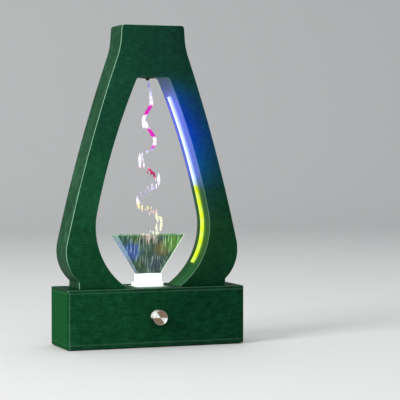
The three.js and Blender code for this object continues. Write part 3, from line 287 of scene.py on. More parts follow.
def leather(name, grain, tones, highlight_strength, lit=None, rim_highlight_heights=(), fold=(0.1, 0.35, 0.85, 0.98), end=None,
            highlight_share=None, gloss=0.03, shade_falloff=(-0.045, 0.045, -0.16)):
    """Leather in three tones from dark to light, with streaks along the axes with the smaller
    `grain`. `highlight_strength` is how strong the painted highlight on its folds is: in full
    where the normal's share along Y is between the middle two of `fold`, and not at all
    beyond the outer two; it is weaker on faces that look down. `highlight_share` gives the
    share of that painted highlight at a place, and `lit` the glow that a lamp throws there.
    `rim_highlight_heights` are the heights of thin paler lines painted as highlights near the
    rims, and `end` is a painted tone, lighter and greener, for a face that looks left or right;
    with it the painted highlight keeps mostly to faces that look left. `shade_falloff` says from
    where to where along X painted shade darkens the colour, and by how much: less than 0 is
    darker."""
    material, shader, place = new_material(name)
    x, _, z = axes(place)
    normal_x, normal_y, normal_z = facing_axes(place)
    streak = noise(place, grain, 4)
    cloud = noise(place, 150, 4, 0.6)
    patch = noise(place, 18)
    depth = math_of("ADD", times(streak, 0.42), times(cloud, 0.38), times(patch, 0.2))
    # Painted shade: the colour darkens along X, standing in for light that falls off to the right.
    falloff_shade = spread(x, shade_falloff[0], shade_falloff[1], 0, shade_falloff[2])
    tone = steps_of(math_of("ADD", depth, falloff_shade), *zip((0.26, 0.5, 0.665), tones))
    # A painted highlight along the folds, paler green, weaker on faces that look down.
    edge_highlight = times(steps_of(unsigned(normal_y), *zip(fold, (0.0, 1.0, 1.0, 0.0))),
                   spread(cloud, 0.3, 0.6, highlight_strength * 0.7, highlight_strength),
                   spread(normal_z, -0.42, -0.12, 0.12, 1))
    if highlight_share:
        edge_highlight = times(edge_highlight, highlight_share(place))
    if end:
        # Painted light: faces that look left or right turn a lighter green, and the painted
        # highlight on the folds keeps mostly to faces that look left.
        tone = blend_of(spread(unsigned(normal_x), 0.75, 0.97, 0, 0.75), tone, end)
        edge_highlight = times(edge_highlight, spread(normal_x, -0.1, 0.1, 1, 0.2))
    tone = blend_of(edge_highlight, tone, shade(150, 196, 164))
    # Thin paler lines near the rims are painted highlights.
    for highlight_height in rim_highlight_heights:
        rim_highlight = spread(unsigned(minus(z, highlight_height)), 0.0003, 0.0011, 0.17, 0)
        tone = blend_of(rim_highlight, tone, shade(92, 128, 108))
    cells = node(place, "TexVoronoi", {"feature": "SMOOTH_F1"}, Vector=place, Scale=1500)
    pores = bump(cells.outputs[0], 0.35, 0.00012)
    give(shader, Base_Color=tone, Roughness=spread(depth, 0.35, 0.65, 0.44, 0.6),
         Specular_IOR_Level=gloss, Normal=bump(depth, 0.25, 0.0002, Normal=pores))
    if lit:
        give(shader, Emission_Color=lit(place), Emission_Strength=1)
    return material


def settle(piece, name, body, slot, material, *nodes, angle=32):
    """Finishes a piece: its place goes into its mesh, and it rides on its body."""
    bpy.context.view_layer.objects.active = piece
    alone()
    piece.select_set(True)
    bpy.ops.object.transform_apply()
    bpy.ops.object.shade_smooth_by_angle(angle=radians(angle))
    modify(piece, "WEIGHTED_NORMAL", weight=100, keep_sharp=True)
    piece.name = piece.data.name = name
    piece.data.materials.clear()
    piece.data.materials.append(material)
    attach(piece, body)
    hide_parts(*nodes)


# ---- The box ----
# Boards covered in leather: a band round the wall, a cap over the top and an edging round the
# bottom board. A seam shows between each two of them. Under the box lies a pad of black felt.

BOX_CORNER, SKIN, NEAR = 4 * MM, 0.8 * MM, 0.01 * MM


def upright(edge):
    """Whether an edge stands upright."""
    rise = edge.verts[0].co - edge.verts[1].co
    return abs(rise.z) > NEAR and rise.xy.length < NEAR


def block(low, high, corner=0, segments=7):
    """A box between two corners, in metres, with its upright edges rounded."""
    alone()
    low, high = Vector(low), Vector(high)
    bpy.ops.mesh.primitive_cube_add(size=1, location=(low + high) / 2, scale=high - low)
    bpy.ops.object.transform_apply()
    if corner:
        round_edges(upright, corner, segments)
    return bpy.context.object


def bar(radius, start, end):
    """A round bar between two points."""
    alone()
    start, end = Vector(start), Vector(end)
    bpy.ops.mesh.primitive_cylinder_add(
        vertices=32, radius=radius, depth=(end - start).length, location=(start + end) / 2,
        rotation=(end - start).to_track_quat("Z", "Y").to_euler())
    bpy.ops.object.transform_apply()
    return bpy.context.object


def combine(piece, operation, *others):
    """Cuts other solids out of a piece or joins them to it, and removes them."""
    for other in others:
        modify(piece, "BOOLEAN", operation=operation, solver="EXACT", object=other)
        bpy.data.objects.remove(other)


def open_up(test):
    """Takes away the faces that pass the test."""
    pick("FACE", test)
    bpy.ops.mesh.delete(type="ONLY_FACE")


def thicken(piece):
    """Gives an open shell the thickness of the leather, inwards."""
    modify(piece, "SOLIDIFY", thickness=SKIN, offset=-1)


def soften(piece, width, segments, angle):
    """Rounds the edges that are sharper than the angle."""
    modify(piece, "BEVEL", width=width, segments=segments, limit_method="ANGLE",
           angle_limit=radians(angle))


def middle(node_name):
    """The middle of a CAD node's box."""
    low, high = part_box(node_name)
    return (low + high) / 2


def numbered(name, count):
    """The names of CAD nodes that are counted from 1."""
    return [f"{name}_{i}" for i in range(1, count + 1)]


def band_round(node_name, *holes):
    """A band of leather round the box, open above and below, with its rims turned in."""
    piece = block(*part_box(node_name), BOX_CORNER)
    open_up(lambda face: abs(face.normal.z) > 0.9)
    thicken(piece)
    combine(piece, "DIFFERENCE", *holes)
    soften(piece, 0.25 * MM, 2, 50)
    return piece


WALL_IN, WALL_OUT = 30 * MM, 50 * MM
KNOB_HOLE, INLET_HOLE = 4.8 * MM, 5.7 * MM
knob_height = middle("control_nut").z
inlet_x, _, inlet_z = middle("power_inlet")
band_low, band_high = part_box("base_leather")
band = band_round(
    "base_leather",
    bar(KNOB_HOLE, (0, -WALL_OUT, knob_height), (0, -WALL_IN, knob_height)),
    bar(INLET_HOLE, (inlet_x, WALL_IN, inlet_z), (inlet_x, WALL_OUT, inlet_z)))
front_tones = (shade(6, 41, 23), shade(14, 62, 36), shade(23, 79, 49))
# Painted light on the band: its sides turn a lighter green, and painted highlights run along its
# folds and near its rims.
band_leather = leather(
    "leather_level_grain", (120, 120, 520), front_tones, 0.15, fold=(0.84, 0.93, 0.96, 0.995),
    end=shade(4, 79, 30), gloss=0.01, rim_highlight_heights=(band_low.z + 1.5 * MM, band_high.z - 1.6 * MM))
settle(band, "box_leather_band", "housing", "leather", band_leather, "base_leather")
settle(band_round("bottom_edging"), "bottom_leather_edging", "housing", "leather", band_leather,
       "bottom_edging")

CAP_FOLD, UNDER_CAP, OVER_CAP = 0.7 * MM, 60 * MM, 80 * MM
LEG_X, LEG_Y, LEG_HOLE = 81.86 * MM, 3.6 * MM, 3.5 * MM
HOLDER_X, HOLDER_Y = 15.5 * MM, 9 * MM
SPIGOT_X, SPIGOT_Y, SPIGOT_GAP = 14 * MM, 4.2 * MM, 0.5 * MM
SPILL_REACH, DARK = 12 * MM, (0, 0, 0, 1)


def holder_spill(place):
    """The lit holder's light on the leather round it."""
    x, y, _ = axes(place)
    beyond_x, beyond_y = (math_of("MAXIMUM", minus(unsigned(value), half), 0)
                          for value, half in ((x, HOLDER_X), (y, HOLDER_Y)))
    away = distance(beyond_x, times(beyond_y, 0.5))
    return steps_of(spread(away, 0, SPILL_REACH), (0.0, (0.7, 0.85, 0.74, 1)),
                    (0.25, (0.26, 0.4, 0.3, 1)), (0.55, (0.03, 0.06, 0.04, 1)), (1.0, DARK))


cap_low, cap_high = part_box("top_leather")
cap = block(cap_low, cap_high, BOX_CORNER)
open_up(lambda face: face.normal.z < -0.9)
round_edges(lambda edge: all(v.co.z > cap_high.z - NEAR for v in edge.verts), CAP_FOLD, 4)
thicken(cap)
hole_x, hole_y = SPIGOT_X + SPIGOT_GAP, SPIGOT_Y + SPIGOT_GAP
combine(cap, "DIFFERENCE", block((-hole_x, -hole_y, UNDER_CAP), (hole_x, hole_y, OVER_CAP)),
        *(bar(LEG_HOLE, (x, LEG_Y, UNDER_CAP), (x, LEG_Y, OVER_CAP)) for x in (-LEG_X, LEG_X)))
cap_leather = leather("leather_cap", (80, 560, 560), front_tones, 0.2, holder_spill)
settle(cap, "top_leather_cap", "housing", "leather", cap_leather, "top_leather")

SCREW_HOLE, PAD_REACH = 4.7 * MM, 10 * MM
pad = block(*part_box("base_pad"), BOX_CORNER)
combine(pad, "DIFFERENCE", *(
    bar(SCREW_HOLE, (screw.x, screw.y, -PAD_REACH), (screw.x, screw.y, PAD_REACH))
    for screw in map(middle, numbered("bottom_screw", 4))))
soften(pad, 0.3 * MM, 2, 50)
felt, shader, place = new_material("felt")
hairs = noise(place, 900, 6, 0.7)
fluff = times(hairs, noise(place, 160, 4))
give(shader, Base_Color=steps_of(fluff, (0.15, shade(16, 18, 17)), (0.45, shade(44, 48, 46))),
     Roughness=0.95, Sheen_Weight=0.4, Normal=bump(hairs, 0.8, 0.0003))
settle(pad, "felt_rest_pad", "housing", "felt", felt, "base_pad")


# ---- The arch's leather ----
# A front and a back sheet are cut to the teardrop's outline, and a strip runs round the outside
# and another round the opening. The outline is one chain of tangent arcs in each half.

ARCH_FOOT, DEPTH, STRIP_HALF = cap_high.z + 0.3 * MM, 22.5 * MM, 21.4 * MM


def on_arc(centre, radius, angle):
    """The place on an arc at an angle in degrees."""
    return (centre[0] + radius * cos(radians(angle)), centre[1] + radius * sin(radians(angle)))


def arc_round(centre, radius, angle, larger):
    """The middle of a larger arc that touches an arc at an angle and goes on from it."""
    return on_arc(centre, radius - larger, angle)


def angle_at(height, centre, radius):
    """The angle at which an arc passes a height."""
    return degrees(asin((height - centre[1]) / radius))


bulge, BULGE_R, BULGE_END = (62 * MM, 45 * MM), 50 * MM, 12.4
FLANK_R, FLANK_END = 2, 19.2
flank = arc_round(bulge, BULGE_R, BULGE_END, FLANK_R)
NECK_R, LEAN = 90 * MM, 4
neck = on_arc(flank, FLANK_R + NECK_R, FLANK_END)
FOOT_X = 95.5 * MM
slope_x, slope_z = on_arc(bulge, BULGE_R, -45)
neck_x, neck_z = on_arc(neck, NECK_R, 180 + LEAN)
TOP, TURN = 323.5 * MM, 4 * MM
turn_x = neck_x - (TURN + (TOP - TURN - neck_z) * sin(radians(LEAN))) / cos(radians(LEAN))
outside = [
    ("line", FOOT_X, slope_z - (slope_x - FOOT_X)),
    ("line", slope_x, slope_z),
    ("arc", bulge, -45, BULGE_END, 22),
    ("arc", flank, BULGE_END, FLANK_END, 26),
    ("arc", neck, 180 + FLANK_END, 180 + LEAN, 14),
    ("line", *on_arc((turn_x, TOP - TURN), TURN, LEAN)),
    ("arc", (turn_x, TOP - TURN), LEAN, 90, 8),
    ("line", 0, TOP),
]
room, ROOM_R, ROOM_END = (-15.7 * MM, 75 * MM), 90 * MM, 11.5
RISE_R, ROOM_TOP, ROOM_TURN = 0.85, 259.5 * MM, 4.5 * MM
rise = arc_round(room, ROOM_R, ROOM_END, RISE_R)
room_foot = angle_at(0, room, ROOM_R)
rise_end = angle_at(ROOM_TOP - ROOM_TURN, rise, RISE_R - ROOM_TURN)
opening = [
    ("arc", room, room_foot, ROOM_END, 30),
    ("arc", rise, ROOM_END, rise_end, 26),
    ("arc", on_arc(rise, RISE_R - ROOM_TURN, rise_end), rise_end, 90, 8),
    ("line", 0, ROOM_TOP),
]


def dot(point):
    """Draws a point: a plane merged to its middle. In edit mode it joins the piece."""
    bpy.ops.mesh.primitive_plane_add(size=1, location=(0, 0, 0))
    if bpy.context.object.mode == "OBJECT":
        edit()
    bpy.ops.mesh.merge(type="CENTER")
    bpy.ops.transform.translate(value=point)


def sweep(centre, turn, steps):
    """Turns what is selected about the middle of an arc, and leaves a run behind it."""
    bpy.ops.mesh.spin(steps=steps, angle=radians(turn), axis=(0, 1, 0),
                      center=(centre[0], 0, centre[1] + ARCH_FOOT))


def draw(start, runs, half_depth):
    """Draws half an outline upwards from its foot, as a wire or as a strip of that depth."""
    alone()
    dot((start[0], -half_depth, start[1] + ARCH_FOOT))
    if half_depth:
        bpy.ops.mesh.extrude_vertices_move(
            TRANSFORM_OT_translate={"value": (0, 2 * half_depth, 0)})
        bpy.ops.mesh.select_all(action="SELECT")
    follow(start, runs, half_depth > 0)
    return bpy.context.object


def follow(start, runs, wide):
    """Goes on from the selected point or edge along lines and arcs."""
    x, z = start
    extrude = bpy.ops.mesh.extrude_edges_move if wide else bpy.ops.mesh.extrude_vertices_move
    for kind, *run in runs:
        if kind == "line":
            extrude(TRANSFORM_OT_translate={"value": (run[0] - x, 0, run[1] - z)})
            x, z = run
        else:
            centre, low, high, steps = run
            sweep(centre, high - low, steps)
            x, z = on_arc(centre, hypot(x - centre[0], z - centre[1]), high)


def both_halves(piece):
    """Mirrors the half and turns all faces to one side."""
    modify(piece, "MIRROR", use_axis=(True, False, False), use_mirror_merge=True,
           merge_threshold=NEAR)
    edit()
    bpy.ops.mesh.remove_doubles(threshold=NEAR / 10)
    bpy.ops.mesh.normals_make_consistent(inside=False)


ROOM_NARROWS = 165 * MM


def from_wall(x, z):
    """How far a place lies outside the opening, in metres."""
    lower, upper = (minus(distance(unsigned(x), z, (centre[0], centre[1] + ARCH_FOOT)), radius)
                    for centre, radius in ((room, ROOM_R), (rise, RISE_R)))
    above = spread(z, ROOM_NARROWS - 10 * MM, ROOM_NARROWS + 10 * MM)
    return math_of("ADD", times(lower, minus(1, above)), times(upper, above))


GLOW_LOW, GLOW_HIGH = 60 * MM, 360 * MM
HALVED_EACH, STRIP_TOP_FADE = 11 * MM, (312 * MM, 345 * MM)


def sheet_glow(place):
    """The strip's light on the front sheet, painted as a glow: it fades outwards from the opening's
    right edge. The left leg has a faint painted sheen, and the neck a faint painted violet light."""
    x, _, z = axes(place)
    fade = math_of("POWER", 0.5, math_of("DIVIDE", from_wall(x, z), HALVED_EACH))
    height = spread(z, GLOW_LOW, GLOW_HIGH)
    hue = steps_of(height, (0.05, (0, 0.002, 0, 1)), (0.3, (0.006, 0.012, 0.001, 1)),
                   (0.44, (0.003, 0.016, 0.03, 1)), (0.56, (0, 0.045, 0.27, 1)),
                   (0.68, (0, 0.012, 0.48, 1)), (0.8, (0, 0.01, 0.3, 1)),
                   (0.92, (0, 0.012, 0.07, 1)))
    right = times(spread(x, 0.002, 0.03), spread(z, *STRIP_TOP_FADE, 1, 0))
    faint_painted_light = steps_of(height, (0.3, DARK), (0.9, (0.001, 0, 0.008, 1)))
    left_leg_sheen = steps_of(height, (0.28, DARK), (0.38, (0.003, 0.012, 0.008, 1)),
                        (0.5, (0.003, 0.014, 0.009, 1)), (0.6, (0.001, 0.002, 0.004, 1)),
                        (0.75, (0.002, 0, 0.008, 1)))
    faint_painted_light = blend_of(spread(x, -0.07, -0.03), left_leg_sheen, faint_painted_light)
    return blend_of(times(fade, right), faint_painted_light, hue)


def wall_glow(place):
    """The strip's light on the opening's wall beside it: violet-blue above, yellow-green below."""
    x, y, z = axes(place)
    height = spread(z, GLOW_LOW, GLOW_HIGH)
    near = steps_of(height, (0.126, (0.006, 0.04, 0.008, 1)), (0.15, (0.13, 0.24, 0.002, 1)),
                    (0.45, (0.16, 0.25, 0.02, 1)), (0.49, (0.2, 0.24, 0.7, 1)),
                    (0.8, (0.27, 0.28, 1.05, 1)), (0.86, (0.08, 0.1, 0.27, 1)),
                    (0.93, (0.045, 0.06, 0.13, 1)))
    far = steps_of(height, (0.12, (0.006, 0.04, 0.008, 1)), (0.2, (0.025, 0.05, 0.002, 1)),
                   (0.44, (0.018, 0.04, 0.02, 1)), (0.52, (0.11, 0.12, 0.62, 1)),
                   (0.8, (0.13, 0.13, 0.8, 1)), (0.88, (0.07, 0.09, 0.2, 1)),
                   (0.94, (0.04, 0.055, 0.11, 1)))
    hue = blend_of(spread(unsigned(y), 0.003, 0.009), near, far)
    return blend_of(spread(x, 0.014, 0.022, 0.06, 1), DARK, hue)


def opening_highlight_share(place):
    """The painted highlight on the folds round the opening is weaker than on those round the
    outside.
    """
    x, _, z = axes(place)
    return spread(from_wall(x, z), 0.001, 0.006, 0.45, 1)


# The strips' tones are lighter than the sheet's: painted light on faces that turn sideways to the
# lamps.
opening_tones = (shade(12, 54, 28), shade(28, 74, 42), shade(46, 94, 60))
outer_tones = (shade(6, 40, 21), shade(25, 67, 42), shade(58, 102, 75))
# Painted shade on the strips: the same darkening along X, spread over a wider span.
strip_shade_falloff = (-0.04, 0.11, -0.096)
sheet_leather = leather("leather_sheet", (130, 130, 560), front_tones, 1.0, sheet_glow,
                        highlight_share=opening_highlight_share)
strip_leather = leather("leather_strip", (50, 250, 50), outer_tones, 0.5, shade_falloff=strip_shade_falloff)
opening_leather = leather("leather_opening_strip", (26, 250, 26), opening_tones, 0.15, wall_glow,
                          shade_falloff=strip_shade_falloff)
STRIP_EDGE, SHEET_EDGE = 0.3 * MM, 0.6 * MM
outside_strip = draw((FOOT_X, 0), outside, STRIP_HALF)
both_halves(outside_strip)
thicken(outside_strip)
soften(outside_strip, STRIP_EDGE, 3, 60)
settle(outside_strip, "arch_outer_strip", "housing", "leather", strip_leather,
       "arch_outer_leather")

NOZZLE_HOLE, NOZZLE_REACH, LEAD_HOLE, LEAD_Y = 6.5 * MM, 4 * MM, 1.2 * MM, 1.5 * MM
nozzle_z, lead_z = ARCH_FOOT + ROOM_TOP, ARCH_FOOT + 31 * MM
opening_foot = on_arc(room, ROOM_R, room_foot)
opening_strip = draw(opening_foot, opening, STRIP_HALF)
both_halves(opening_strip)
bpy.ops.mesh.flip_normals()
thicken(opening_strip)
soften(opening_strip, STRIP_EDGE, 3, 60)
combine(opening_strip, "DIFFERENCE",
        bar(NOZZLE_HOLE, (0, 0, nozzle_z - NOZZLE_REACH), (0, 0, nozzle_z + NOZZLE_REACH)),
        bar(LEAD_HOLE, (50 * MM, LEAD_Y, lead_z), (90 * MM, LEAD_Y, lead_z)))
settle(opening_strip, "arch_opening_strip", "housing", "leather", opening_leather,
       "arch_inner_leather")

for face, side in (("front", -1), ("back", 1)):
    sheet = draw((FOOT_X, 0), outside, 0)
    bpy.ops.mesh.select_all(action="DESELECT")
    dot((opening_foot[0], 0, opening_foot[1] + ARCH_FOOT))
    follow(opening_foot, opening, False)
    pick("EDGE", lambda edge: True)
    bpy.ops.mesh.bridge_edge_loops()
    both_halves(sheet)
    if sum(part.normal.y for part in bmesh.from_edit_mesh(sheet.data).faces) * side < 0:
        bpy.ops.mesh.flip_normals()
    bpy.ops.transform.translate(value=(0, side * DEPTH, 0))
    thicken(sheet)
    round_edges(lambda edge: all(abs(v.co.y) > DEPTH - NEAR for v in edge.verts)
                and any(abs(part.normal.y) < 0.3 for part in edge.link_faces), SHEET_EDGE, 4)
    settle(sheet, f"arch_{face}_sheet", "housing", "leather", sheet_leather,
           f"arch_{face}_leather")


# ---- The light strip ----
# A milky silicone sleeve with rounded shoulders, glued along the right wall of the opening. The
# lamps on the tape inside glow blue-white above and yellow-green below.

SLEEVE_HALF, SLEEVE_RISE, SHOULDER, GLUE = 3 * MM, 3 * MM, 1.4 * MM, 0.3 * MM
TAPE_HALF, TAPE_ROOM = 2.2 * MM, 2.3 * MM
SLEEVE_LOW, SLEEVE_HIGH, SLEEVE_END = 27 * MM, 236.5 * MM, 4 * MM
half_profile = [(SLEEVE_HALF, GLUE)] + [
    on_arc((SLEEVE_HALF - SHOULDER, GLUE + SLEEVE_RISE - SHOULDER), SHOULDER, angle)
    for angle in (0, 22, 45, 67, 90)]
profile = half_profile + [(-y, up) for y, up in reversed(half_profile)] + [
    (-TAPE_HALF, GLUE), (-TAPE_HALF, TAPE_ROOM), (TAPE_HALF, TAPE_ROOM), (TAPE_HALF, GLUE)]
sleeve_start = angle_at(SLEEVE_LOW, room, ROOM_R)
sleeve_end = angle_at(SLEEVE_HIGH, rise, RISE_R)


def trace(points):
    """Draws a wire from point to point."""
    alone()
    dot(points[0])
    for before, after in zip(points, points[1:]):
        bpy.ops.mesh.extrude_vertices_move(
            TRANSFORM_OT_translate={"value": Vector(after) - Vector(before)})
    return bpy.context.object


points = []
for y, up in profile:
    x, z = on_arc(room, ROOM_R - up, sleeve_start)
    points.append((x, y, z + ARCH_FOOT))
sleeve = trace(points)
edit()
bpy.ops.mesh.edge_face_add()
sweep(room, ROOM_END - sleeve_start, 14)
sweep(rise, sleeve_end - ROOM_END, 18)
edit()
bpy.ops.mesh.remove_doubles(threshold=NEAR / 10)
# The sweeps leave a copy of the profile's face between them. Only the two end faces stay.
open_up(lambda face: len(face.verts) > 4 and SLEEVE_LOW + SLEEVE_END
        < face.calc_center_median().z - ARCH_FOOT < SLEEVE_HIGH - SLEEVE_END)
edit()
bpy.ops.mesh.normals_make_consistent(inside=False)
lit_sleeve, shader, place = new_material("lit_silicone")
run = spread(axes(place)[2], 0.09, 0.32)
glow = steps_of(run, (0.0, (0.7, 1.0, 0.005, 1)), (0.465, (0.82, 1.05, 0.01, 1)),
                (0.485, (0.6, 0.85, 1.1, 1)), (0.53, (0.9, 1.3, 5.5, 1)),
                (0.97, (0.95, 1.1, 5.5, 1)), (1.0, (0.5, 0.55, 4.0, 1)))
beads = node(place, "TexWave", {"wave_type": "BANDS", "bands_direction": "Z"}, Vector=place,
             Scale=19.6).outputs[0]
glow = blend_of(spread(beads, 0, 1, 0.0, 0.12), glow, (0.3, 0.5, 0.9, 1))
dimmed = times(spread(unsigned(facing_axes(place)[1]), 0.55, 0.9),
               spread(run, 0.3, 0.55, 0.12, 0.7))
give(shader, Emission_Color=blend_of(dimmed, glow, DARK), Emission_Strength=1,
     Base_Color=steps_of(run, (0.465, (0.1, 0.14, 0.01, 1)), (0.49, shade(150, 160, 236))),
     Subsurface_Weight=0.2, Specular_IOR_Level=0.1, Roughness=0.42,
     Normal=bump(noise(place, 240), 0.3, 0.0001))
settle(sleeve, "light_strip_sleeve", "housing", "lit_silicone", lit_sleeve, "light_sleeve")


# ---- The basin's holder ----
# A milky block with an ear at each end, cast in one with the spigot that leads the water down
# into the tank. The flashing lamps under it make it glow.

HOLDER_CORNER, THROAT_CORNER = 1.2 * MM, 1.4 * MM
HOLDER_LOW, HOLDER_BACK = 73.3 * MM, 7.5 * MM
EAR_X, EAR_FRONT, EAR_TOP, SPIGOT_TOP = 19 * MM, 5 * MM, 77.4 * MM, 76 * MM
THROAT_X, THROAT_Y, THROAT_LOW, THROAT_TOP = 12 * MM, 2.8 * MM, 40 * MM, 100 * MM
holder_low, holder_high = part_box("basin_holder")
holder = block((-HOLDER_X, -HOLDER_Y, HOLDER_LOW), (HOLDER_X, HOLDER_BACK, holder_high.z),
               HOLDER_CORNER, 5)
combine(holder, "UNION",
        block((-EAR_X, -EAR_FRONT, HOLDER_LOW), (EAR_X, HOLDER_Y, EAR_TOP), HOLDER_CORNER, 5),
        block((-SPIGOT_X, -SPIGOT_Y, holder_low.z), (SPIGOT_X, SPIGOT_Y, SPIGOT_TOP),
              HOLDER_CORNER, 5))
combine(holder, "DIFFERENCE",
        block((-THROAT_X, -THROAT_Y, THROAT_LOW), (THROAT_X, THROAT_Y, THROAT_TOP),
              THROAT_CORNER, 5))
soften(holder, 0.35 * MM, 3, 45)
milky, shader, place = new_material("milky_acrylic")
glow = steps_of(spread(axes(place)[2], 0.05, 0.0885),
                (0.0, 0.15), (0.58, 0.55), (0.72, 1.0), (1.0, 0.95))
haze = noise(place, 120, 4)
tint = blend_of(haze, (1.0, 1.0, 0.98, 1), (0.93, 0.98, 1.0, 1))
give(shader, Emission_Color=blend_of(glow, DARK, tint), Emission_Strength=1,
     Base_Color=tint, Subsurface_Weight=0.35, Subsurface_Radius=(0.004, 0.004, 0.005),
     Roughness=0.28, Normal=bump(haze, 0.15, 0.0001))
settle(holder, "basin_holder_block", "housing", "milky_acrylic", milky, "basin_holder")


# ---- The hopper ----
# Four plates of clear acrylic, cemented at their edges, wider above than below. Water runs down
# them in fine streaks, which catch the light of the strip: blue at the left, green at the right.

PLATE, CEMENT = 2 * MM, 0.3 * MM
FOOT_HALF_X, FOOT_HALF_Y, RIM_HALF_X, RIM_HALF_Y = 15.5 * MM, 5.5 * MM, 44 * MM, 14 * MM
PLATE_LOW, PLATE_HIGH = (corner.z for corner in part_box("hopper_front"))


def round_spot(x, z, spot, inner, outer):
    """1 near a place (x, z) in millimetres, and 0 beyond the outer distance."""
    return spread(distance(x, z, (spot[0] * MM, spot[1] * MM)), inner * MM, outer * MM, 1, 0)


def plate_material(name, across, plain, spots, film_and_shade_tones, mirrored, edges=None):
    """Clear acrylic with water running down it, in streaks that are fine along the axis `across`.
    Its glow is `plain` between the `spots`, each an (x, z), a reach and a colour.
    `film_and_shade_tones` is what the water lets through, darkened as painted shade, `mirrored`
    how strongly the plate mirrors, and `edges` the light held in the left and the right cut edge,
    where the plate shows them."""
    def running(fine_scale, down_scale, detail, roughness):
        """Noise in streaks that run down the plate."""
        scale = [fine_scale if axis == across else down_scale for axis in "xyz"]
        return noise(place, scale, detail, roughness)

    material, shader, place = new_material(name)
    x, _, z = axes(place)
    half = spread(z, PLATE_LOW, PLATE_HIGH, FOOT_HALF_X, RIM_HALF_X)
    streak = running(700, 24, 3, 0.6)
    fine = running(1050, 66, 2, 0.5)
    blot = running(150, 40, 3, 0.65)
    near_x = math_of("ADD", x, spread(blot, 0.3, 0.7, -4 * MM, 4 * MM))
    hue = plain
    for spot, reach, colour in spots:
        hue = blend_of(round_spot(near_x, z, spot, reach * 0.35, reach), hue, colour)
    lit = times(spread(streak, 0.42, 0.62), spread(fine, 0.36, 0.62))
    glow = blend_of(lit, blend_of(0.34, DARK, hue), hue)
    spark = times(lit, spread(fine, 0.54, 0.66))
    glow = blend_of(spark, glow, blend_of(0.45, hue, (0.85, 1.0, 0.8, 1)))
    # Painted glints: pale green specks along the top rim.
    rim = times(spread(z, PLATE_HIGH - 0.9 * MM, PLATE_HIGH - 0.4 * MM),
                spread(fine, 0.42, 0.58, 0.1, 0.8))
    glow = blend_of(rim, glow, shade(150, 200, 150))
    if edges:
        gap = minus(half, unsigned(x))
        share = spread(math_of("DIVIDE", x, half), -1, 1)
        edge = steps_of(share, (0.3, edges[0]), (0.7, edges[1]))
        glow = blend_of(spread(gap, 0.3 * MM, 0.8 * MM, 1, 0), glow, edge)
    # The froth where the stream lands is real, and its pale glow is painted light.
    froth = times(round_spot(near_x, z, (0, 135), 2, 12), spread(fine, 0.44, 0.56))
    beads = node(place, "TexVoronoi", Vector=place, Scale=380).outputs[0]
    wet = bump(streak, 0.5, 0.0006)
    give(shader, Emission_Color=blend_of(froth, glow, shade(240, 212, 200)), Emission_Strength=1,
         Base_Color=blend_of(spread(streak, 0.36, 0.6), *film_and_shade_tones), Transmission_Weight=1,
         IOR=1.4, Specular_IOR_Level=mirrored, Roughness=spread(streak, 0.4, 0.65, 0.03, 0.22),
         Normal=bump(beads, 0.2, 0.0005, Normal=wet))
    return material


def plate_between(side, outer, thick):
    """Where a plate starts and ends along an axis, from its outer face inwards."""
    return sorted((side * outer, side * (outer - thick)))


def hopper_plate(face, foot_x, foot_y, rim_x, rim_y, material):
    """A plate that leans out: a block at the foot's size with its top edges moved out."""
    piece = block((foot_x[0], foot_y[0], PLATE_LOW), (foot_x[1], foot_y[1], PLATE_HIGH))
    for axis, foot, rim in ((0, foot_x, rim_x), (1, foot_y, rim_y)):
        for start, end in zip(foot, rim):
            pick("EDGE", lambda edge: all(
                v.co.z > PLATE_HIGH - NEAR and abs(v.co[axis] - start) < NEAR
                for v in edge.verts))
            step = Vector()
            step[axis] = end - start
            bpy.ops.transform.translate(value=step)
    round_edges(lambda edge: True, 0.25 * MM, 2)
    settle(piece, f"hopper_{face}_plate", "housing", "clear_acrylic", material, f"hopper_{face}")


clear = plate_material(
    "clear_acrylic", "x", shade(54, 86, 70), (
        ((-41, 135), 13, shade(46, 92, 82)), ((-24, 118), 16, shade(56, 94, 180)),
        ((-22, 133), 10, shade(70, 104, 56)), ((-11, 99), 12, shade(58, 84, 54)),
        ((-7, 122), 8, shade(96, 132, 112)), ((7, 101), 15, shade(58, 78, 92)),
        ((14, 120), 12, shade(116, 104, 56)), ((31, 127), 17, shade(108, 164, 60))),
    (shade(46, 62, 58), shade(78, 96, 88)), 0.25, (shade(96, 146, 160), shade(225, 245, 215)))
# The end plates' film is darker still: painted shade.
end_clear = plate_material(
    "clear_acrylic_ends", "y", shade(44, 66, 84), (
        ((-33, 119), 19, shade(84, 126, 176)), ((-43, 136), 9, shade(76, 128, 104)),
        ((32, 116), 34, shade(96, 150, 72))),
    (shade(16, 32, 46), shade(32, 54, 70)), 0.1)
for face, side in (("front", -1), ("back", 1)):
    hopper_plate(face, (-FOOT_HALF_X, FOOT_HALF_X), plate_between(side, FOOT_HALF_Y, PLATE),
                 (-RIM_HALF_X, RIM_HALF_X), plate_between(side, RIM_HALF_Y, PLATE), clear)
end_thick = PLATE * hypot(1, (RIM_HALF_X - FOOT_HALF_X) / (PLATE_HIGH - PLATE_LOW))
end_foot, end_rim = FOOT_HALF_Y - PLATE - CEMENT, RIM_HALF_Y - PLATE - CEMENT
for face, side in (("left", -1), ("right", 1)):
    hopper_plate(face, plate_between(side, FOOT_HALF_X, end_thick), (-end_foot, end_foot),
                 plate_between(side, RIM_HALF_X, end_thick), (-end_rim, end_rim), end_clear)


# ---- The stream ----
# Water leaves the nozzle as a thread, swings wider as it falls and breaks into beads. The
# flashing lamps colour it: magenta above, white and pink in the middle, pale yellow below.

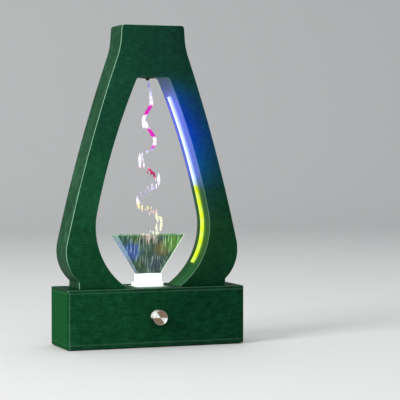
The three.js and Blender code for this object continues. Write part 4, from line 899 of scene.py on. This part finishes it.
def thread(points):
    """A thread of water through (x, z, radius) places, as a curve turned into a mesh."""
    alone()
    bpy.ops.curve.primitive_bezier_curve_add(location=(0, 0, 0))
    curve = bpy.context.object.data
    curve.splines.clear()
    line = curve.splines.new("NURBS")
    line.points.add(len(points) - 1)
    for point, (x, z, radius) in zip(line.points, points):
        point.co = (x * MM, 0, z * MM, 1)
        point.radius = radius
    line.order_u = 4
    line.use_endpoint_u = True
    line.resolution_u = 8
    curve.dimensions = "3D"
    curve.bevel_depth = MM
    curve.bevel_resolution = 4
    curve.use_fill_caps = True
    bpy.ops.object.convert(target="MESH")
    return bpy.context.object


threads = [
    [(3.2, 319.6, 0.4), (3.6, 317, 1.3), (4.1, 312, 1.7), (4.7, 306, 2.0), (5.1, 301, 2.1),
     (3.8, 297, 2.1), (1.2, 293, 2.4), (-1.4, 289, 2.3), (-3.8, 285.5, 1.9), (-5.2, 281, 2.0),
     (-5.6, 276, 2.1), (-5.3, 272, 1.7), (-4.9, 269.2, 0.6)],
    [(-0.6, 269.4, 0.5), (1.8, 267.2, 1.5), (4.8, 264.4, 2.2), (7.6, 261.2, 2.1), (9.5, 257.5, 1.9),
     (10, 253.5, 1.9), (9.4, 249.5, 1.8), (8.4, 246.2, 1.3), (7.5, 244, 0.5)],
    [(13.2, 159.4, 0.5), (15.2, 159.8, 1.1), (17.4, 157.4, 1.4), (18.3, 152.5, 1.4),
     (18.2, 147.5, 1.5), (17.2, 143.6, 1.6), (16.4, 141.6, 0.6)],
]
# Each drop is x, z, half its length and its radius, in millimetres.
drops = [
    (1.1, 327.8, 1.5, 0.4), (1.3, 323.8, 2.6, 1.3), (2.2, 320.2, 1.3, 0.7), (-3.4, 273.4, 2.6, 1.2),
    (-1.7, 270.8, 2.6, 1.1), (2.4, 270.2, 1.2, 0.7), (5.5, 243.7, 2.4, 1.0),
    (-1.1, 240.3, 2.1, 1.0), (0.9, 241.9, 1.1, 0.7), (2.9, 242.6, 0.8, 0.5),
    (-10.4, 229.8, 9.9, 2.0), (-7.1, 235.9, 4.2, 0.8), (-4.9, 223.7, 4.6, 0.9),
    (-6.1, 230.6, 2.2, 0.6), (1.4, 219.0, 2.6, 1.6), (4.9, 215.6, 3.3, 1.4), (8.5, 212.0, 3.7, 1.5),
    (-0.4, 214.7, 2.0, 0.8), (3.8, 212.5, 1.6, 0.6), (14.6, 206.5, 8.0, 1.9),
    (10.4, 206.9, 2.9, 0.9), (11.3, 197.8, 3.9, 1.0), (5.9, 197.0, 4.9, 1.1),
    (-0.2, 197.1, 1.8, 0.8), (2.8, 191.8, 1.3, 0.6), (-2.8, 191.3, 2.2, 0.5),
    (-9.5, 189.4, 1.3, 0.8), (-6.7, 185.4, 1.6, 0.7), (-13.8, 180.4, 5.8, 1.6),
    (-11.9, 174.8, 5.9, 1.9), (-7.6, 170.5, 5.1, 0.9), (0.2, 170.4, 3.3, 1.0),
    (4.7, 168.6, 4.1, 0.9), (2.3, 163.6, 1.8, 0.8), (7.6, 164.9, 3.2, 0.8), (-3.0, 168.8, 1.7, 0.5),
    (11.8, 161.9, 7.6, 1.4), (13.3, 155.6, 3.6, 0.9), (11.5, 143.4, 8.7, 1.4),
    (14.4, 138.9, 2.0, 0.8), (7.3, 139.3, 3.4, 0.8), (3.8, 141.2, 1.5, 0.6), (9.0, 134.6, 2.6, 0.9),
    (1.6, 137.6, 1.3, 0.7), (-6.2, 138.2, 0.9, 0.6), (5.6, 133.2, 1.6, 0.8), (3.2, 267.2, 3.0, 1.6),
    (5.9, 263.6, 3.4, 1.8), (4.6, 261.4, 2.2, 1.0), (7.6, 250.2, 2.4, 1.0), (6.3, 247.4, 2.2, 1.1),
    (4.9, 245.6, 1.3, 0.7), (-2.0, 276.2, 2.8, 1.1), (0.2, 273.4, 2.2, 1.0),
    (-0.6, 291.8, 2.6, 1.5), (3.0, 296.2, 2.8, 1.3), (3.4, 217.6, 1.8, 1.1), (6.6, 214.6, 2.2, 1.2),
    (9.6, 209.8, 2.0, 1.0), (7.8, 195.2, 1.6, 0.7), (-4.4, 188.2, 1.4, 0.5),
    (-8.4, 187.2, 1.7, 0.6), (0.9, 194.6, 1.5, 0.6),
]
alone()
bpy.ops.mesh.primitive_uv_sphere_add(segments=14, ring_count=10, radius=1, location=(0, 0, 0))
first_drop = bpy.context.object
# The upper end of the ball is drawn to a point.
for above, narrower, tip in ((0.5, 0.72, 0.5), (0.85, 0.6, 1)):
    pick("FACE", lambda face: face.calc_center_median().z > above)
    bpy.ops.transform.resize(value=(narrower, narrower, 1), center_override=(0, 0, tip))
bpy.ops.object.mode_set(mode="OBJECT")
chance = random.Random(7)
pieces = [thread(points) for points in threads]
for points in threads:
    for (x, z, radius), (next_x, next_z, next_radius) in zip(points[1:], points[2:-1]):
        for _ in range(3):
            share = chance.random()
            reach = (radius + (next_radius - radius) * share) * chance.choice((-1, 1)) \
                * chance.uniform(0.75, 1.15)
            drops.append((x + (next_x - x) * share + reach, z + (next_z - z) * share,
                          chance.uniform(0.7, 1.7), chance.uniform(0.35, 0.6)))
for x, z, half, radius in drops:
    copy = first_drop.copy()
    copy.data = first_drop.data.copy()
    copy.location = (x * MM, chance.uniform(-0.8, 0.8) * MM, z * MM)
    copy.scale = (radius * MM, radius * MM, half * MM)
    studio.collection.objects.link(copy)
    pieces.append(copy)
bpy.data.objects.remove(first_drop)
alone()
for piece in pieces:
    piece.select_set(True)
water = pieces[0]
bpy.context.view_layer.objects.active = water
bpy.ops.object.join()
edit()
bpy.ops.mesh.remove_doubles(threshold=NEAR / 10)
water_look, shader, place = new_material("water")
x, _, z = axes(place)
white, lilac, magenta = shade(250, 242, 255), shade(190, 180, 240), shade(214, 26, 180)
WATER_LOW, WATER_HIGH = 130, 330
hue = steps_of(spread(z, WATER_LOW * MM, WATER_HIGH * MM), *[
    ((height - WATER_LOW) / (WATER_HIGH - WATER_LOW), colour) for height, colour in (
        (130, shade(246, 244, 214)), (160, shade(240, 238, 200)), (166, shade(236, 200, 190)),
        (172, shade(236, 230, 150)), (180, white), (188, lilac), (204, white),
        (209, shade(196, 90, 130)), (213, shade(160, 14, 62)), (219, shade(220, 70, 130)),
        (223, white), (238, white), (243, lilac), (247, magenta), (250, white), (257.5, white),
        (260, magenta), (268, magenta), (271, white), (285, white), (287.5, magenta),
        (297.5, magenta), (300, white), (316, shade(214, 210, 245)),
        (322, shade(120, 120, 215)), (329, shade(170, 170, 235)))])
# The crest furthest to the right stays white.
hue = blend_of(times(spread(x, 0.0108, 0.0125), spread(z, 0.185, 0.195)), hue, white)
flicker = noise(place, (520, 520, 260), 3)
# The drops' rims glow a darker violet: painted shade at their edges.
rim = spread(node(place, "LayerWeight", Blend=0.35).outputs["Facing"], 0.45, 0.85, 0, 0.8)
lit = blend_of(spread(flicker, 0.37, 0.5), blend_of(0.7, hue, shade(58, 30, 110)), hue)
give(shader, Emission_Color=blend_of(rim, lit, shade(78, 52, 128)), Emission_Strength=0.85,
     Base_Color=blend_of(0.65, hue, DARK), Transmission_Weight=0.5, IOR=1.33, Roughness=0.04,
     Normal=bump(flicker, 0.3, 0.0004))
settle(water, "falling_water", "housing", "water", water_look, "water_stream", angle=60)


# ---- The speed knob ----
# Turned from a bar of aluminium: a dished face with fine rings from the tool, a small bright
# chamfer and a hollow back over the nut. The bright and brown sectors of its face and the light
# and dark of its side wall are a painted reflection and painted shade, so they turn with it.

def spun(profile, start, direction, steps):
    """A turned piece: (radius, distance) places in millimetres, spun round a line along Y."""
    piece = trace([(start[0] + radius * MM, start[1] + direction * far * MM, start[2])
                   for radius, far in profile])
    edit()
    bpy.ops.mesh.spin(steps=steps, angle=2 * pi, center=start, axis=(0, direction, 0))
    edit()
    bpy.ops.mesh.remove_doubles(threshold=NEAR / 5)
    bpy.ops.mesh.normals_make_consistent(inside=False)
    return piece


KNOB_R, DISH, DISH_STEP = 9.2, 0.3, 0.035
knob_low, knob_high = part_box("knob")
knob_long = (knob_high.y - knob_low.y) / MM
profile = [
    *((0.5 * i, knob_long - DISH + DISH_STEP * (i % 2)) for i in range(15)),
    (7.5, knob_long - DISH), (8.0, knob_long - 0.12), (8.25, knob_long), (8.5, knob_long),
    (8.75, knob_long - 0.08), (9.1, knob_long - 0.42), (KNOB_R, knob_long - 0.7),
    (KNOB_R, 0.25), (8.95, 0), (7.5, 0), (7.3, 0.2), (7.3, 3.2), (3.3, 3.2),
    (3.3, knob_long - 2), (0, knob_long - 2)]
knob = spun(profile, (0, knob_high.y, knob_height), -1, 96)
aluminium, shader, place = new_material("spun_aluminium")
x, _, z = axes(place)
radius = distance(x, z, (0, knob_height))
z = minus(z, knob_height)
rings = node(place, "TexNoise", {"noise_dimensions": "1D"}, W=times(radius, 9000), Scale=1,
             Detail=3).outputs[0]
# Painted reflection: bright sectors up to the left and down to the right, brown between them, and
# less metallic where bright so that they show whiter.
turn = math_of("COSINE", times(minus(math_of("ARCTAN2", z, x), radians(152)), 2))
painted_fan = steps_of(spread(turn, -1, 1), (0.6, shade(148, 127, 104)), (0.76, shade(166, 148, 128)),
               (0.86, shade(255, 255, 252)), (1.0, shade(255, 255, 253)))
facing = math_of("GREATER_THAN", unsigned(facing_axes(place)[1]), 0.3)
# Painted light and shade on the side wall: white above, dark below, grey towards the right.
painted_wall_light = steps_of(spread(z, -0.008, 0.008), (0.42, shade(34, 44, 36)),
                     (0.56, shade(252, 253, 248)))
painted_wall_light = blend_of(spread(x, -0.006, 0.0005), painted_wall_light, shade(150, 140, 124))
painted_fan = blend_of(facing, painted_wall_light, painted_fan)
chamfer = math_of("GREATER_THAN", radius, 8.3 * MM)
painted_fan = blend_of(times(facing, chamfer, 0.4), painted_fan, shade(232, 224, 208))
give(shader, Base_Color=blend_of(spread(rings, 0.3, 0.7, 0.0, 0.3), painted_fan, shade(104, 92, 78)),
     Metallic=times(spread(turn, 0.5, 0.8, 1.0, 0.3), spread(facing, 0, 1, 0.15, 1)),
     Anisotropic=0.75, Roughness=spread(rings, 0.3, 0.7, 0.22, 0.36),
     Normal=bump(rings, 0.25, 0.00008),
     Tangent=node(place, "Tangent", {"direction_type": "RADIAL", "axis": "Y"}).outputs[0])
settle(knob, "turned_speed_knob", "knob", "spun_aluminium", aluminium, "knob", angle=30)


# ---- The power inlet ----
# A barrel socket of black plastic in the back of the box: a flange with a dished mouth and a
# rounded rim, a threaded barrel behind it, and a plated contact pin in the middle of the bore.

ridges = [(radius, 0.7 + 0.4 * step) for step, radius in enumerate([5.4, 5.1] * 17)]
profile = [
    (0, 0), (4.9, 0), (5.4, 0.4), *ridges, (5.4, 14.6), (5.4, 15.0), (6.45, 15.0), (6.6, 15.15),
    (6.6, 16.0), (6.5, 16.3), (6.2, 16.47), (5.8, 16.5), (5.3, 16.45), (5.0, 16.2), (3.6, 15.75),
    (3.2, 15.5), (3.1, 15.2), (3.1, 6.0), (1.0, 6.0), (1.0, 15.0), (0.85, 15.4), (0.5, 15.65),
    (0, 15.7)]
inlet = spun(profile, (inlet_x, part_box("power_inlet")[0].y, inlet_z), 1, 48)
socket_black, shader, place = new_material("socket_plastic")
x, _, z = axes(place)
pin = math_of("LESS_THAN", distance(x, z, (inlet_x, inlet_z)), 1.1 * MM)
cast = noise(place, 900)
black_tone = steps_of(noise(place, 120), (0.35, shade(16, 16, 17)), (0.65, shade(33, 33, 35)))
give(shader, Base_Color=blend_of(pin, black_tone, shade(206, 202, 190)), Metallic=pin,
     Roughness=spread(cast, 0.3, 0.7, 0.3, 0.5), Normal=bump(cast, 0.25, 0.00008))
settle(inlet, "threaded_power_inlet", "housing", "black_plastic", socket_black, "power_inlet",
       angle=35)


# ---- The pieces that keep their CAD shape ----
# Boards, fasteners, wiring, the drive and the pump are hidden in the box and the arch. Each kind
# of material has its own finish.

def dress(material, *nodes):
    """Gives carried-over CAD nodes their finish."""
    for name in nodes:
        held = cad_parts[name].data.materials
        if not held:
            held.append(material)
        for index in range(len(held)):
            held[index] = material


fibre, shader, place = new_material("fibreboard")
chips = noise(place, (260, 260, 900), 6, 0.7)
bare = steps_of(chips, (0.3, shade(126, 92, 58)), (0.5, shade(158, 122, 82)),
                (0.7, shade(186, 150, 106)))
height = axes(place)[2]
for seam in (band_low.z, band_high.z):
    stained = spread(unsigned(minus(height, seam)), 0.0015, 0.0025, 0.95, 0)
    bare = blend_of(stained, bare, shade(12, 44, 27))
give(shader, Base_Color=bare, Roughness=0.85, Normal=bump(chips, 0.5, 0.0003))
dress(fibre, "bottom_board", "base_wall", "top_board", "arch_front_board", "arch_back_board",
      *numbered("arch_dowel", 2))


def metal(name, dark, light, roughness, grain=(300, 300, 300)):
    """Mottled metal, or metal with a grain where it is turned or wound."""
    material, shader, place = new_material(name)
    mottle = noise(place, grain, 4)
    give(shader, Base_Color=steps_of(mottle, (0.35, dark), (0.65, light)), Metallic=1,
         Roughness=spread(mottle, 0.3, 0.7, roughness - 0.08, roughness + 0.1),
         Normal=bump(mottle, 0.2, 0.00006))
    return material


def plastic(name, dark, light, roughness, bumps=1200):
    """Moulded plastic, rubber or varnish: cloudy colour under small bumps."""
    material, shader, place = new_material(name)
    mottle = noise(place, bumps)
    give(shader, Base_Color=steps_of(noise(place, 60, 2), (0.35, dark), (0.65, light)),
         Roughness=spread(mottle, 0.3, 0.7, roughness - 0.06, roughness + 0.08),
         Normal=bump(mottle, 0.25, 0.00008))
    return material


dress(metal("zinc_steel", shade(150, 152, 150), shade(206, 208, 204), 0.34),
      *numbered("bottom_screw", 4), *numbered("leg_screw", 4), *numbered("bracket_screw", 2),
      "control_nut", "control_shaft", "inlet_nut", "nozzle_bracket", "drive_plunger")
# The nozzle's brass is painted dark as painted shade: it sits in the shade at the top of the
# opening.
dress(metal("shade_darkened_brass", shade(44, 36, 28), shade(84, 68, 48), 0.4, (200, 200, 2600)), "nozzle")
dress(metal("copper_winding", shade(138, 70, 38), shade(206, 122, 74), 0.32, (2800, 300, 300)),
      "drive_coil")
dress(plastic("black_plastic", shade(18, 18, 19), shade(34, 34, 36), 0.45),
      "pump_body", "pump_cover", "nozzle_grommet")
dress(plastic("grey_plastic", shade(92, 96, 98), shade(124, 128, 130), 0.5),
      "water_tank", "tank_lid", "pump_impeller", "board_tray", "speed_control")
dress(plastic("silicone", shade(198, 200, 196), shade(222, 224, 220), 0.42, 700),
      "tank_gasket", "hopper_seal", "riser_hose")
dress(plastic("circuit_green", shade(18, 74, 40), shade(38, 112, 62), 0.4, 500),
      "circuit_board", "light_tape", "flash_board")
dress(plastic("wire_insulation", shade(36, 34, 34), shade(150, 30, 28), 0.42, 900),
      "inlet_leads", "control_leads", "pump_leads", "flash_leads", "leg_leads")
